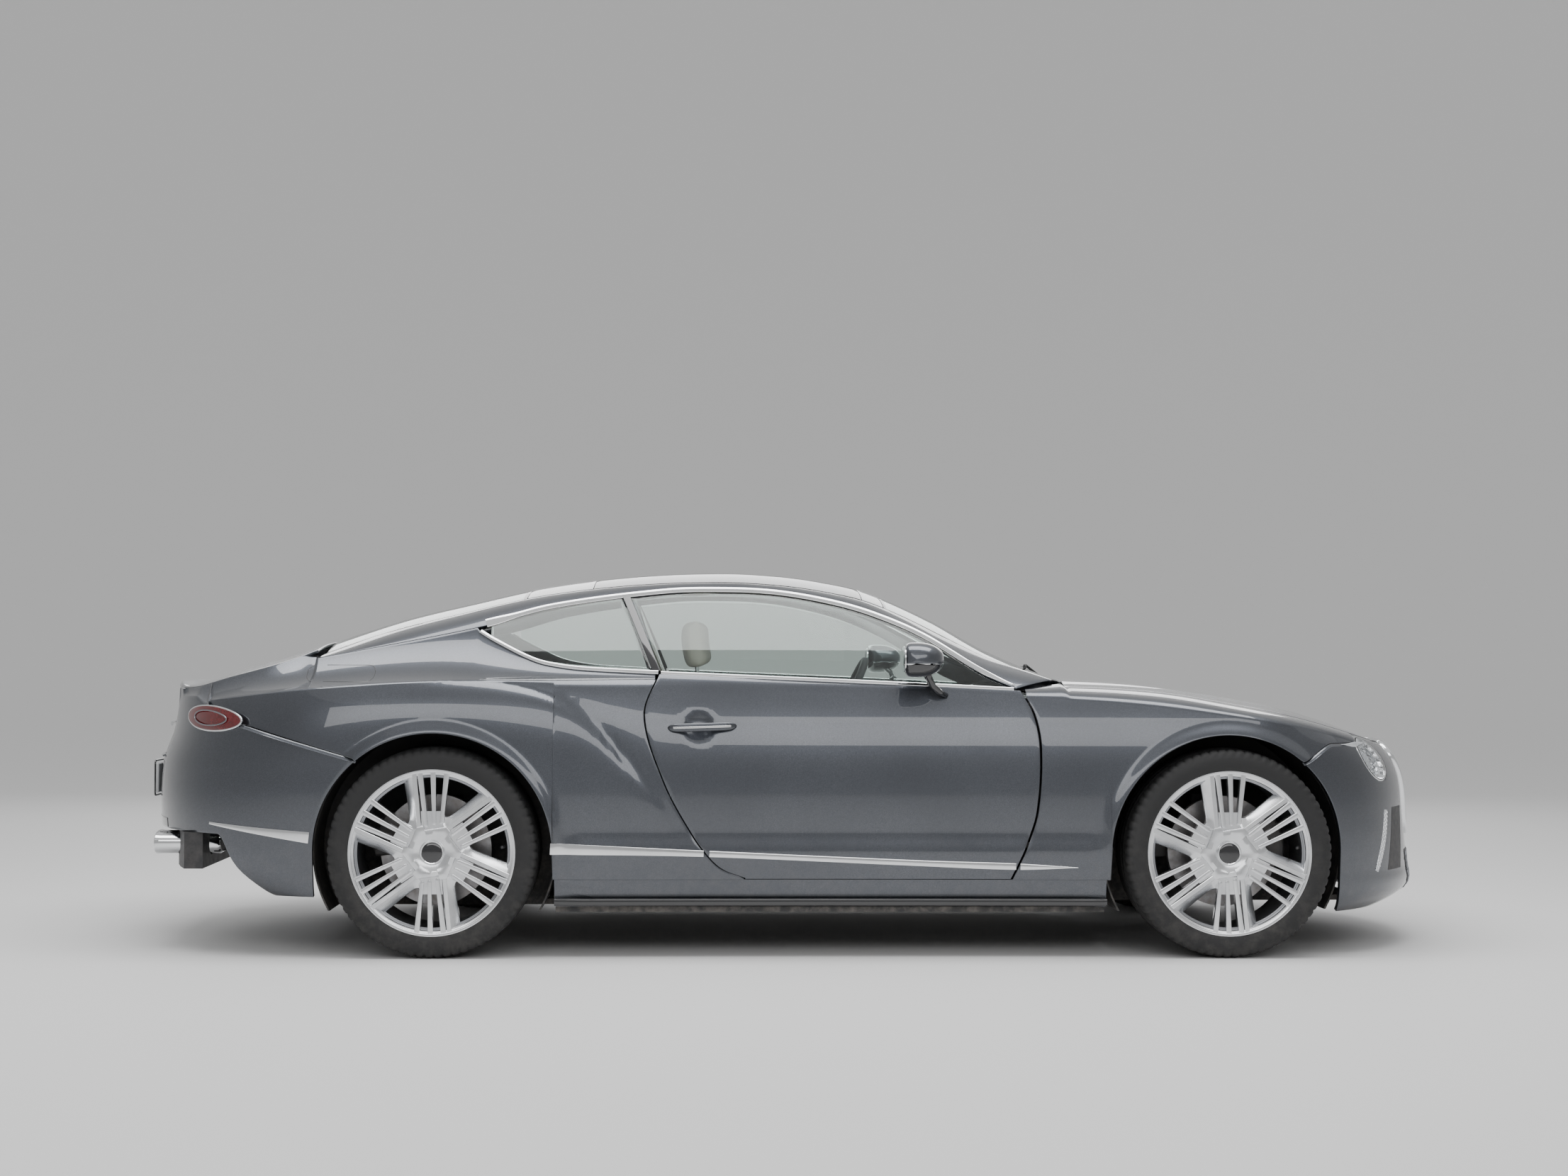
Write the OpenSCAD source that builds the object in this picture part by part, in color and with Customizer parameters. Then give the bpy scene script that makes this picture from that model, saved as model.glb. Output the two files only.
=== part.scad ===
// Two-door coupe car, resting on its four wheels.
// X points forward, Y to the car's left, Z up; the origin lies on the ground under its middle.
// All sizes are in millimetres.

/* [Overall] */
// Distance between the front and the rear wheel centres
wheelbase = 2851; // [2750:10:2950]
// Wheel centre of the front axle, measured forward from the origin
front_axle_x = 1550; // [1530:5:1570]
// Half width of the body at the doors
hip_half = 946; // [930:2:970]
// Height of the roof above the ground
roof_top = 1402; // [1370:2:1440]

/* [Wheels] */
// Radius of the tyre's tread
tyre_r = 375; // [360:1:385]
// Radius of the rim's outer lip
rim_r = 296; // [280:1:305]
// Width of the front tyres
front_tyre_w = 275; // [245:5:285]
// Width of the rear tyres
rear_tyre_w = 305; // [275:5:315]
// Middle of the front tyre, measured sideways
front_track_half = 832; // [815:1:836]
// Middle of the rear tyre, measured sideways
rear_track_half = 822; // [810:1:826]
// Radius of the arch edge in the wing
arch_r = 424; // [415:1:432]
// How far the steered wheels' swivel pin stands from the middle plane
kingpin_y = 760; // [745:1:775]
// Radius of the swivel pins and wheel spindles
spindle_r = 20; // [16:1:24]
// Radius of the brake discs
disc_r = 200; // [180:1:210]
// Bolt circle of the five wheel bolts
bolt_circle = 112; // [100:1:130]
// Diameter of a wheel bolt hole
bolt_hole = 14; // [12:1:16]

/* [Body] */
// Thickness of the outer panels with what stiffens them
panel_t = 38; // [24:1:44]
// Inner face of the doors, measured sideways
door_inner_y = 770; // [740:1:790]
// Gap round the moving panels
shut_gap = 5; // [5:0.5:7]
// Extra room at the doors' front edge, where they swing in behind the wing
nose_gap = 14; // [12:1:18]
// Gap between panels that are fixed to each other
seam = 0.6; // [0.4:0.1:0.8]
// Top face of the floor
floor_z = 180; // [170:1:190]
// Top face of the sills
sill_z = 277; // [265:1:280]
// Thickness of the glass
glass_t = 8; // [5:1:10]

/* [Hidden] */
$fn = 64;
paint = [0.20, 0.22, 0.26];
trim_black = [0.06, 0.06, 0.07];
glass_tint = [0.35, 0.42, 0.40];
silver = [0.78, 0.79, 0.80];
cream = [0.85, 0.80, 0.70];
rear_axle_x = front_axle_x - wheelbase;
hip_z = 600;
nose_start = 1600;
tail_start = -1500;
clear = 0.05;
seat_gap = 0.3;
join_gap = 0.7;

// ---- curves ----
// Smooth step from 0 to 1
function ease(t) = t < 0 ? 0 : t > 1 ? 1 : t * t * (3 - 2 * t);
function mix(a, b, t) = a + (b - a) * t;
function span(t, x, i = 0) = i >= len(t) - 2 || x < t[i + 1][0] ? i : span(t, x, i + 1);
function grade(t, i) =
    let (a = max(i - 1, 0), b = min(i + 1, len(t) - 1)) (t[b][1] - t[a][1]) / (t[b][0] - t[a][0]);
// Cubic curve through a list of [position, value] points
function curve(t, pos) =
    let (x = min(max(pos, t[0][0]), t[len(t) - 1][0]), i = span(t, x), h = t[i + 1][0] - t[i][0],
         s = (x - t[i][0]) / h, a = 1 - s)
    a * a * (1 + 2 * s) * t[i][1] + s * s * (1 + 2 * a) * t[i + 1][1]
    + h * s * a * (a * grade(t, i) - s * grade(t, i + 1));

// ---- body lines ----
hip_line = [[-1500, 20], [-1300, 22], [-900, 12], [-300, 0], [300, -4], [850, 0], [1300, 12], [1600, 14]];
nose_line = [[130, 2250], [180, 2373], [225, 2425], [300, 2418], [480, 2400], [620, 2386],
    [700, 2352], [765, 2290], [830, 2190]];
tail_line = [[190, -2080], [230, -2230], [315, -2395], [430, -2425], [670, -2422], [800, -2383],
    [965, -2366]];
bonnet_line = [[950, 994], [1180, 985], [1370, 969], [1555, 943], [1740, 914], [1880, 885], [2020, 846],
    [2115, 814], [2210, 778], [2290, 742]];
roof_line = [[-1867, -307], [-1512, -189], [-1236, -121], [-944, -57], [-610, -15], [-278, 0], [-54, -10],
    [115, -32], [282, -69], [527, -172], [745, -293], [1010, -413]];
deck_line = [[-2370, 966], [-2249, 976], [-2063, 1034], [-1860, 1094], [-1750, 1130]];
belt_line = [[-1170, 1172], [-1102, 1132], [-958, 1063], [-860, 1040], [-736, 1028], [-280, 1008],
    [228, 988],
    [795, 962]];
cant_line = [[-1757, 1062], [-1164, 1180], [-899, 1253], [-487, 1312], [-281, 1319], [-74, 1310],
    [135, 1273],
    [291, 1226], [465, 1150], [668, 1020], [795, 962]];
door_front = [[278, 765], [330, 790], [400, 820], [520, 857], [746, 870], [870, 850], [957, 806],
    [1010, 780]];
door_rear = [[284, -190], [310, -262], [350, -312], [440, -380], [620, -478], [864, -552], [1019, -498]];
crease_line = [[-2200, 900], [-1750, 954], [-1300, 983], [-900, 985], [-500, 990], [0, 985]];
shoulder_line = [[800, 935], [1200, 905], [1550, 865], [1800, 828], [2000, 782], [2100, 752]];
bonnet_half = [[985, 720], [1550, 690], [1900, 660], [2060, 625], [2200, 560], [2290, 480]];
top_edge = [[-1757, 590], [-1400, 562], [-1000, 542], [-300, 556], [300, 585], [600, 640], [945, 715]];
cabin_half = [[-1760, 770], [-1164, 800], [-600, 835], [0, 848], [500, 842], [800, 822], [950, 800]];
boot_half = [[-2370, 560], [-2200, 640], [-1957, 700], [-1850, 690], [-1770, 640]];

// Half width of the side glass at height z
function cabin(x, z) = curve(cabin_half, x) - 0.55 * (z - 1000) - 0.0006 * (z - 1000) * (z - 1000);
function hip(x) = hip_half + curve(hip_line, x);
function arch_swell(x, z, wx) = 16 * ease((arch_r + 52 - norm([x - wx, z - tyre_r])) / 52);
// How much the plan narrows towards the nose and the tail
function nose_in(x, z) = x < nose_start ? 1
    : pow(max(0, 1 - pow((x - nose_start) / (curve(nose_line, z) - nose_start), 2.5)), 0.5);
function tail_in(x, z) = x > tail_start ? 1
    : pow(max(0, 1 - pow((tail_start - x) / (tail_start - curve(tail_line, z)), 3)), 1 / 2.2);
// Half width of the lower body: tucked in at the sill, leaning in above the hip, fuller at the haunch
function flank(x, z) = (z < hip_z
        ? hip(x) - 50 * pow((hip_z - z) / 420, 2)
        : hip(x) - 80 * pow((z - hip_z) / 380, 2.4))
    + 38 * exp(-pow((x - rear_axle_x) / 480, 2)) * ease((z - 640) / 300);
function side(x, z) = flank(x, z) * nose_in(x, z) * tail_in(x, z)
    + (arch_swell(x, z, front_axle_x) + arch_swell(x, z, rear_axle_x)) * ease((z - 200) / 120);
// Top of the bonnet, the glasshouse and the boot deck
function bonnet_z(x, y) = curve(bonnet_line, x) - (26 + 20 * ease((x - 1300) / 800)) * pow(abs(y) / 720,
    2.6);
function crown(x) = mix(mix(60, 62, ease((x + 1700) / 1400)), 16, ease((x - 500) / 480));
function roof_z(x, y) = roof_top + curve(roof_line, x) - crown(x) * pow(abs(y) / 600, 2.3);
function deck_z(x, y) = curve(deck_line, x) - 42 * pow(abs(y) / 700, 2.4);

// ---- solids from grids ----
// A closed slab between two grids of points, outer and inner, each a list of rows
module slab(outer, inner) {
    rows = len(outer);
    cols = len(outer[0]);
    n = rows * cols;
    points = [for (g = [outer, inner]) for (r = g) for (p = r) p];
    function at(i, j) = i * cols + j;
    skin = [for (i = [0:rows - 2]) for (j = [0:cols - 2])
        for (f = [[at(i, j), at(i + 1, j), at(i + 1, j + 1)],
            [at(i, j), at(i + 1, j + 1), at(i, j + 1)]]) f];
    lining = [for (f = skin) [f[0] + n, f[2] + n, f[1] + n]];
    rim = concat(
        [for (i = [0:rows - 2]) [at(i + 1, 0), at(i, 0)]],
        [for (j = [0:cols - 2]) [at(0, j), at(0, j + 1)]],
        [for (i = [0:rows - 2]) [at(i, cols - 1), at(i + 1, cols - 1)]],
        [for (j = [0:cols - 2]) [at(rows - 1, j + 1), at(rows - 1, j)]]);
    walls = [for (e = rim) for (f = [[e[0], e[1], e[1] + n], [e[0], e[1] + n, e[0] + n]]) f];
    polyhedron(points, concat(skin, lining, walls), convexity = 6);
}
module both_sides() {
    children();
    mirror([0, 1, 0]) children();
}
// Evaluates its children as one mesh
module as_mesh() resize([0, 0, 0]) children();
module box(low, high) translate(low) cube(high - low);
module bar_y(r, x, z, y0, y1) translate([x, y0, z]) rotate([-90, 0, 0]) cylinder(r = r, h = y1 - y0);

function quad(a, b, c, t) = (1 - t) * (1 - t) * a + 2 * t * (1 - t) * b + t * t * c;

function outline(rows, cols, f) = [for (i = [0:rows]) [for (j = [0:cols]) f(i / rows, j / cols)]];

// ---- doors ----
// The hinge axis leans in at its top and lies close under the skin
hinge_x = 848;
hinge_low = [hinge_x, 905, 400];
hinge_high = [hinge_x, 864, 900];
hinge_pin_r = 5;
hinge_tilt = atan((hinge_low[1] - hinge_high[1]) / (hinge_high[2] - hinge_low[2]));
function axis_y(z) = mix(hinge_low[1], hinge_high[1], (z - hinge_low[2]) / (hinge_high[2] - hinge_low[2]));
function door_x(z, u) = mix(curve(door_rear, z) + shut_gap / 2, curve(door_front, z) - shut_gap / 2, u);
function door_z(u, v) = mix(sill_z + 7, curve(belt_line, mix(-498, 800, u)) - 6, mix(v * v, v, 0.3));
door_skin = function (v, w) let (u = 1 - w, z = door_z(u, v), x = door_x(z, u)) [x, side(x, z), z];
door_lining = function (v, w) let (u = 1 - w, z = door_z(u, v))
    [door_x(z, u) + 12 * max(1 - 2 * u, 0), door_inner_y, z];
module door_strap(at) difference() {
    union() {
        translate(at) rotate([hinge_tilt, 0, 0]) cylinder(r = 9, h = 24, center = true);
        translate(at + [-62, -7, -10]) cube([60, 12, 20]);
    }
    translate(at) rotate([hinge_tilt, 0, 0]) cylinder(r = hinge_pin_r + clear, h = 60, center = true);
}
module door_body() {
    slab(outline(9, 9, door_skin), outline(9, 9, door_lining));
    door_strap(hinge_low);
    door_strap(hinge_high);
}
module door_left() color(paint) door_body();
module door_right() color(paint) mirror([0, 1, 0]) door_body();

// Side glass: stands on the door's top edge, under the cant line
function glass_top(x) = curve(cant_line, x) - 8;
side_glass = function (inner) function (v, w)
    let (t = 1 - w, x0 = mix(-492, 770, t), low = curve(belt_line, x0) - 6 + seam,
         lean = -118 * (1 - t), x = x0 + lean * v, high = max(glass_top(x), low + 6), z = mix(low, high, v))
    [x, cabin(x, z) - (inner ? glass_t : 0), z];
module side_glass_pane() slab(outline(7, 14, side_glass(false)), outline(7, 14, side_glass(true)));
module door_glass_left() color(glass_tint) side_glass_pane();
module door_glass_right() color(glass_tint) mirror([0, 1, 0]) side_glass_pane();

// Door mirror: a rounded housing on a foot that stands on the door's skin
mirror_at = [440, 985, 1062];
module door_mirror() {
    hull() {
        translate(mirror_at + [-35, 5, 8]) scale([0.45, 1.45, 0.9]) sphere(r = 68, $fn = 28);
        translate(mirror_at + [45, -25, 2]) sphere(r = 42, $fn = 28);
    }
    hull() {
        translate(mirror_at + [25, -60, -45]) sphere(r = 16, $fn = 16);
        translate([mirror_at[0] + 70, side(510, 950) + 13, 952]) sphere(r = 14, $fn = 16);
    }
}
module mirror_left() color(paint) door_mirror();
module mirror_right() color(paint) mirror([0, 1, 0]) door_mirror();

// ---- wings and quarters ----
function arch_z(x, wx) = tyre_r + sqrt(max(0, arch_r * arch_r - (x - wx) * (x - wx)));
// Columns of a wing: x of the lower and upper end, and the height of the lower edge
function wing_door_edge(z) = let (x = curve(door_front, z), y = side(x, z) - axis_y(z),
    swing = hinge_x + norm([max(x - hinge_x, 0), y]) + shut_gap,
        inside = ease((z - 345) / 40) * ease((950 - z) / 40))
    mix(x + nose_gap, max(swing, x + nose_gap), inside);
wing_front_xs = [1850, 1895, 1945, 2000, 2060];
fender_cols = concat(
    [for (k = [0:3]) [k / 3 * 0.985, 0]],
    [for (a = [172:-12:52]) [1, front_axle_x + arch_r * cos(a)]],
    [for (x = wing_front_xs) [2, x]]);
function bumper_top(x) = mix(700, 766, ease((x - 1811) / 140));
function fender_low(c, x) = c[0] < 1 ? sill_z + seat_gap : c[0] == 1 ? arch_z(x, front_axle_x)
    : bumper_top(x) + join_gap;
function fender_x(c, z) = c[0] < 1 ? mix(wing_door_edge(z), front_axle_x - arch_r, c[0]) : c[1];
function fender_top_y(x) = x < 985 ? mix(cabin(800, 960) + 2, 720, (x - 800) / 185)
    : curve(bonnet_half, x) + shut_gap;
function fender_top_z(x) = x < 985 ? mix(958, 982, (x - 800) / 185) : bonnet_z(x, fender_top_y(x));
// Rows run from the lower edge to the shoulder, then over to the bonnet's edge
fender_steps = [0, 0.164, 0.248, 0.43, 0.643, 0.84, 0.947, 1];
fender_rows = len(fender_steps) - 1;
fender_crown = 4;
function fender_pt(c, i, t) =
    let (x1 = fender_x(c, 800), sh = curve(shoulder_line, x1), low = fender_low(c, x1),
         v = fender_steps[min(i, fender_rows)], z = mix(low, sh, v), x = fender_x(c, z))
    i <= fender_rows ? [x, side(x, z) - t, z]
    : let (w = (i - fender_rows) / fender_crown, xs = fender_x(c, sh), a = [side(xs, sh), sh],
           e = [fender_top_y(xs), fender_top_z(xs)], k = [a[0] - 10, mix(a[1], e[1], 0.86)],
           q = quad(a, k, e, w)) [xs, q[0] - t * (1 - w), q[1] - t * ease(w * 1.6)];
module fender() slab(
    [for (i = [0:fender_rows + fender_crown]) [for (j = [len(fender_cols) - 1:-1:0])
        fender_pt(fender_cols[j], i, 0)]],
    [for (i = [0:fender_rows + fender_crown]) [for (j = [len(fender_cols) - 1:-1:0])
        fender_pt(fender_cols[j], i, j < 4 ? 12 : min(12 + 6 * (j - 3), panel_t - 8))]]);
module front_fenders() color(paint) both_sides() fender();

quarter_rear_xs = [-1660, -1741, -1775, -1805, -1840, -1880, -1950, -2050, -2140];
quarter_cols = concat(
    [for (k = [0:3]) [k / 4, 0]],
    [for (a = [8:12.2:131]) [1, rear_axle_x + arch_r * cos(a)]],
    [for (x = quarter_rear_xs) [2, x]]);
// Upper edge of the rear bumper where it meets the quarter
function rear_join(x) = mix(706, 840, (-1577 - x) / 464) + 26 * ease((-2040 - x) / 100);
function quarter_low(c, x) = c[0] < 1 ? sill_z + seat_gap : c[0] == 1 ? arch_z(x, rear_axle_x)
    : rear_join(x) + join_gap;
function quarter_x(c, z) = c[0] < 1 ? mix(curve(door_rear, z) - shut_gap, rear_axle_x + arch_r, c[0])
    : c[1];
function quarter_top(x) = x > -1164 ? let (z = curve(belt_line, x) - 2) [cabin(x, z), z]
    : x > -1757 ? let (z = curve(cant_line, x) - 1) [cabin(x, z), z]
    : let (y = curve(boot_half, x) + shut_gap + 4) [y, deck_z(x, y) - mix(24, 0, ease((-1757 - x) / 60))];
quarter_rows = 9;
quarter_crown = 4;
function quarter_pt(c, i, t) =
    let (x1 = quarter_x(c, 985), cr = curve(crease_line, x1), low = quarter_low(c, x1),
         v0 = min(i / quarter_rows, 1), v = mix(v0 * v0, v0, c[0] < 1 ? 0.3 : 1), z = mix(low, cr, v),
             x = quarter_x(c, z))
    i <= quarter_rows ? [x, side(x, z) - t, z]
    : let (w = (i - quarter_rows) / quarter_crown, a = [side(x1, cr), cr], e = quarter_top(x1),
           k = [mix(a[0], e[0], 0.72), mix(a[1], e[1], 0.3)], q = quad(a, k, e, w))
      [x1, q[0] - t * (1 - w * ease((-1741 - x1) / 30)), q[1] - t * w * ease((-1741 - x1) / 30)];
module quarter() slab(
    [for (i = [0:quarter_rows + quarter_crown]) [for (j = [0:len(quarter_cols) - 1])
        quarter_pt(quarter_cols[j], i, 0)]],
    [for (i = [0:quarter_rows + quarter_crown]) [for (j = [0:len(quarter_cols) - 1])
        quarter_pt(quarter_cols[j], i, panel_t)]]);
module rear_quarters() color(paint) both_sides() quarter();

// ---- glasshouse ----
pillar_rear_x = -1740;
pillar_steps = 24;
pillar_t = 26;
function pillar_out(t) = let (x = mix(795, pillar_rear_x, t), z = curve(cant_line, x)) [x, cabin(x, z), z];
function pillar_in(t) = let (x0 = mix(795, pillar_rear_x, t), x = x0 + 150 * ease((x0 - 200) / 595),
    y = curve(top_edge, x))
    [x, y, roof_z(x, y)];
function pillar_pt(w, t, d) =
    let (a = pillar_out(t), b = pillar_in(t), k = [mix(a[0], b[0], 0.5), mix(a[1], b[1], 0.32),
        mix(a[2], b[2], 0.72)],
         q = quad(a, k, b, w)) q - d * [0, 1 - w, w];
module pillar() slab(
    [for (i = [0:4]) [for (j = [pillar_steps:-1:0]) pillar_pt(i / 4, 1 - j / pillar_steps, 0)]],
    [for (i = [0:4]) [for (j = [pillar_steps:-1:0]) pillar_pt(i / 4, 1 - j / pillar_steps, pillar_t)]]);
module roof_pillars() color(paint) both_sides() pillar();

// A panel across the car between two stations, as wide as the pillars leave it
screen_sag = 62;
function across(x, y) = x > 500 ? x + screen_sag * ease((x - 330) / 600) * (1 - pow(y / 700, 2)) : x;
function top_pt(x0, x1, v, u, d) =
    let (xe = mix(x0, x1, v), half = curve(top_edge, xe) - seam, y = half * (2 * u - 1), x = across(xe, y))
    [x, y, roof_z(x, y) - d];
module top_panel(x0, x1, rows, t) slab(
    outline(rows, 14, function (v, u) top_pt(x0, x1, v, 1 - u, 0)),
    outline(rows, 14, function (v, u) top_pt(x0, x1, v, 1 - u, t)));
roof_rear_x = -1000;
panorama_rear_x = -754;
panorama_front_x = 250;
roof_front_x = 330;
screen_base_x = 938;
module roof_panels() color(paint) {
    top_panel(roof_rear_x, panorama_rear_x - seam, 3, 20);
    top_panel(panorama_front_x + seam, roof_front_x, 2, 20);
}
module roof_glass() color(trim_black) top_panel(panorama_rear_x, panorama_front_x, 10, glass_t + 4);
module windscreen() color(glass_tint) top_panel(roof_front_x + seam, screen_base_x, 10, glass_t);
module rear_window() color(glass_tint) top_panel(pillar_rear_x, roof_rear_x - seam, 9, glass_t);

b_post_x = -496;
quarter_glass = function (inner) function (v, u)
    let (x0 = mix(-1120, b_post_x - 34, 1 - u), low = curve(belt_line, x0) + 1,
         x = x0 - 118 * v * ease((x0 + 1120) / 590), high = max(curve(cant_line, x) - 1.5, low + 2),
             z = mix(low, high, v))
    [x, cabin(x, z) - (inner ? glass_t : 0), z];
module quarter_windows() color(glass_tint) both_sides()
    slab(outline(5, 14, quarter_glass(false)), outline(5, 14, quarter_glass(true)));
// ---- bonnet and boot lid ----
bonnet_t = 22;
bonnet_rear_x = 990;
function bonnet_front(y) = 2268 - 105 * pow(abs(y) / 600, 2);
bonnet_skin = function (d) function (v, u)
    let (w = 1 - 2 * u, x0 = mix(bonnet_rear_x, 2190, v), half = curve(bonnet_half, x0),
         y = half * w, rear = bonnet_rear_x + 42 * (1 - w * w), x = mix(rear, bonnet_front(y), v))
    [x, y, bonnet_z(x, y) - d];
bonnet_hinge = [1030, 560, 943];
// Hinge eye on a lid: a sleeve round the pin, with a foot that reaches into the panel
module hinge_eye(at, dir, reach, lift) difference() {
    union() {
        bar_y(10, at[0], at[2], at[1] - 11, at[1] + 11);
        translate(at + [dir > 0 ? 0 : -reach, -7, -6]) cube([reach, 14, 6 + lift]);
    }
    bar_y(hinge_pin_r + clear, at[0], at[2], at[1] - 20, at[1] + 20);
}
module hinge_lugs(at) {
    for (k = [-1, 1]) bar_y(7, at[0], at[2], at[1] + k * 22 - 5, at[1] + k * 22 + 5);
    bar_y(hinge_pin_r, at[0], at[2], at[1] - 22, at[1] + 22);
}
module bonnet() color(paint) {
    slab(outline(12, 14, bonnet_skin(0)), outline(12, 14, bonnet_skin(bonnet_t)));
    both_sides() hinge_eye(bonnet_hinge, 1, 60, 22);
}

// The lid runs back over the deck and down between the tail lamps
boot_t = 20;
boot_front_x = -1764;
boot_low_z = 708;
boot_corner = 12;
boot_rows = 12;
deck_rows = 8;
function tail_x(y, z) = let (b = side(tail_start, min(z, 900)), n = curve(tail_line, z))
    tail_start + (n - tail_start) * pow(max(0, 1 - pow(min(abs(y) / b, 1), 2.2)), 1 / 3);
function boot_pt(i, w, d) =
    let (edge = tail_x(w * 560, 950) + 8)
    i <= deck_rows ? let (v = i / deck_rows, x0 = mix(boot_front_x, -2290, v),
        half = curve(boot_half, x0) - (v > 0.85 ? 60 * (v - 0.85) / 0.15 : v < 0.1 ? boot_corner : 0),
        y = half * w, x = mix(boot_front_x, edge, v)) [x, y, deck_z(x, y) - d * (v < 1 ? 1 : 1.2)]
    : let (v = (i - deck_rows) / (boot_rows - deck_rows), z0 = deck_z(edge, w * 500),
        z = mix(z0, boot_low_z, v),
           y = w * mix(500, 430, v)) [tail_x(y, z) + d + 3, y, z - (i == boot_rows ? 0 : d * (1 - v))];
boot_hinge = [-1786, 520, 1064];
module boot_lid() color(paint) {
    slab([for (i = [0:boot_rows]) [for (j = [0:14]) boot_pt(i, j / 7 - 1, 0)]],
         [for (i = [0:boot_rows]) [for (j = [0:14]) boot_pt(i, j / 7 - 1, boot_t)]]);
    both_sides() hinge_eye(boot_hinge, -1, 34, 14);
}

// ---- front end ----
bumper_t = 34;
nose_half = function (z) side(nose_start, z) - arch_swell(nose_start, z,
    front_axle_x) * ease((z - 200) / 120);
function front_end_x(z) = (z > tyre_r ? front_axle_x + sqrt(max(0,
    arch_r * arch_r - pow(z - tyre_r, 2))) : front_axle_x + arch_r) + seam;
function nose_turn(z) = let (n = curve(nose_line, z))
    acos(pow((front_end_x(z) - nose_start) / (n - nose_start), 1.25));
function nose_pt(u, z, t) =
    let (n = curve(nose_line, z), a = nose_turn(z) * u, b = nose_half(z))
    [nose_start + (n - nose_start - t) * pow(cos(a), 0.8),
     (u < 0 ? -1 : 1) * (b - t) * pow(abs(sin(a)), 1) , z];
function front_top(u) = mix(718, 790, ease((abs(u) - 0.5) / 0.06));
function front_row(i, d) =
    [for (j = [0:36]) let (u = j / 18 - 1) nose_pt(u, mix(150, front_top(u), i / 9), d)];
module front_skin(outer, inner) slab([for (i = [0:9]) front_row(i, outer)],
    [for (i = [0:9]) front_row(i, inner)]);
// What the wing or the quarter covers, seen from the side: the bumper stops below this line
module join_side(points) rotate([90, 0, 0]) translate([0, 0, -1100]) linear_extrude(2200) polygon(points);
module front_join() let (x0 = front_axle_x - 50, xa = front_axle_x + 261, x1 = wing_front_xs[4] + 4)
    join_side(concat([[x0, 900], [x0, bumper_top(xa)], [xa, bumper_top(xa)]],
        [for (x = wing_front_xs) [x, bumper_top(x)]], [[x1, bumper_top(x1)], [x1, 900]]));
grille_half = 430;
module grille_outline(d) offset(r = -d) hull() for (y = [-1, 1]) {
    translate([y * (grille_half - 60), 690]) circle(r = 60, $fn = 24);
    translate([y * (grille_half - 110), 470]) circle(r = 60, $fn = 24);
}
module along_x(x, l) translate([x, 0, 0]) rotate([90, 0, 90]) linear_extrude(l) children();
lamp_at = [2128, 714, 706];
lamp_r = 88;
module lamp_hole(d) both_sides() translate([lamp_at[0] - 120, lamp_at[1], lamp_at[2]]) rotate([0, 90, 0])
    cylinder(r = lamp_r + d, h = 400);
module front_bumper() color(paint) as_mesh() difference() {
    front_skin(0, bumper_t);
    front_join();
    bar_y(front_liner_r - 4, front_axle_x, tyre_r, -884, 884);
    along_x(2150, 300) grille_outline(0);
    lamp_hole(0.3);
}
module grille() color(trim_black) as_mesh() intersection() {
    front_skin(8, 26);
    along_x(2150, 300) grille_outline(0.3);
}
module headlamps() color(silver) both_sides() {
    translate([lamp_at[0] - 30, lamp_at[1], lamp_at[2]]) rotate([0, 90, 0]) {
        cylinder(r = lamp_r, h = 50);
        translate([0, 0, 50]) scale([1, 1, 0.35]) sphere(r = lamp_r - 0.5, $fn = 32);
    }
}

// ---- rear end ----
function rear_end_x(z) = (z > tyre_r ? rear_axle_x - sqrt(max(0, arch_r * arch_r - pow(z - tyre_r, 2)))
    : rear_axle_x - arch_r) - seam;
tail_half = function (z) side(tail_start, z) - arch_swell(tail_start, z,
    rear_axle_x) * ease((z - 200) / 120);
function tail_turn(z) = let (n = curve(tail_line, z)) acos(pow(max(0,
    tail_start - rear_end_x(z)) / (tail_start - n), 1.5));
function tail_pt(u, z, t) =
    let (n = curve(tail_line, z), a = tail_turn(z) * u, b = tail_half(z))
    [tail_start + (n - tail_start + t) * pow(cos(a), 2 / 3),
        (u < 0 ? -1 : 1) * (b - t) * pow(abs(sin(a)), 2 / 2.2), z];
// The bumper's top steps down between the lamps, where the boot lid comes down to it
function rear_top(u) = let (a = abs(u))
    mix(boot_low_z - shut_gap - 2, mix(rear_join(-2140), 922, ease((0.82 - a) / 0.1)),
        ease((a - 0.42) / 0.1));
function rear_low(u) = mix(432, 212, ease((abs(u) - 0.72) / 0.12));
function rear_row(i, d) =
    [for (j = [0:36]) let (u = 1 - j / 18) tail_pt(u, mix(rear_low(u), rear_top(u), i / 9), d)];
module rear_join_side() let (x0 = rear_axle_x + 50, xa = rear_axle_x - 272, x1 = quarter_rear_xs[8] - 4)
    join_side(concat([[x0, 1000], [x0, arch_z(xa, rear_axle_x) - join_gap],
        [xa, arch_z(xa, rear_axle_x) - join_gap]],
        [for (x = quarter_rear_xs) [x, rear_join(x)]], [[x1, rear_join(x1)], [x1, 1000]]));
module rear_bumper() color(paint) as_mesh() difference() {
    slab([for (i = [0:9]) rear_row(i, 0)], [for (i = [0:9]) rear_row(i, bumper_t)]);
    rear_join_side();
}
exhaust_at = [-2352, 560, 382];
module exhaust_outline(d) hull() for (y = [-1, 1]) translate([y * 45, 0]) circle(r = 42 + d, $fn = 32);
module rear_diffuser() color(trim_black) difference() {
    translate([0, 0, 300]) linear_extrude(131.4) polygon(concat([[-2150, 760], [-2150, -760]],
        [for (k = [-8:8]) [-2332 + 115 * pow(abs(k) / 8, 2.6), 760 * k / 8]]));
    for (y = [-1, 1]) translate([0, y * exhaust_at[1], exhaust_at[2]]) along_x(-2500, 600)
        exhaust_outline(seat_gap);
}
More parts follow.
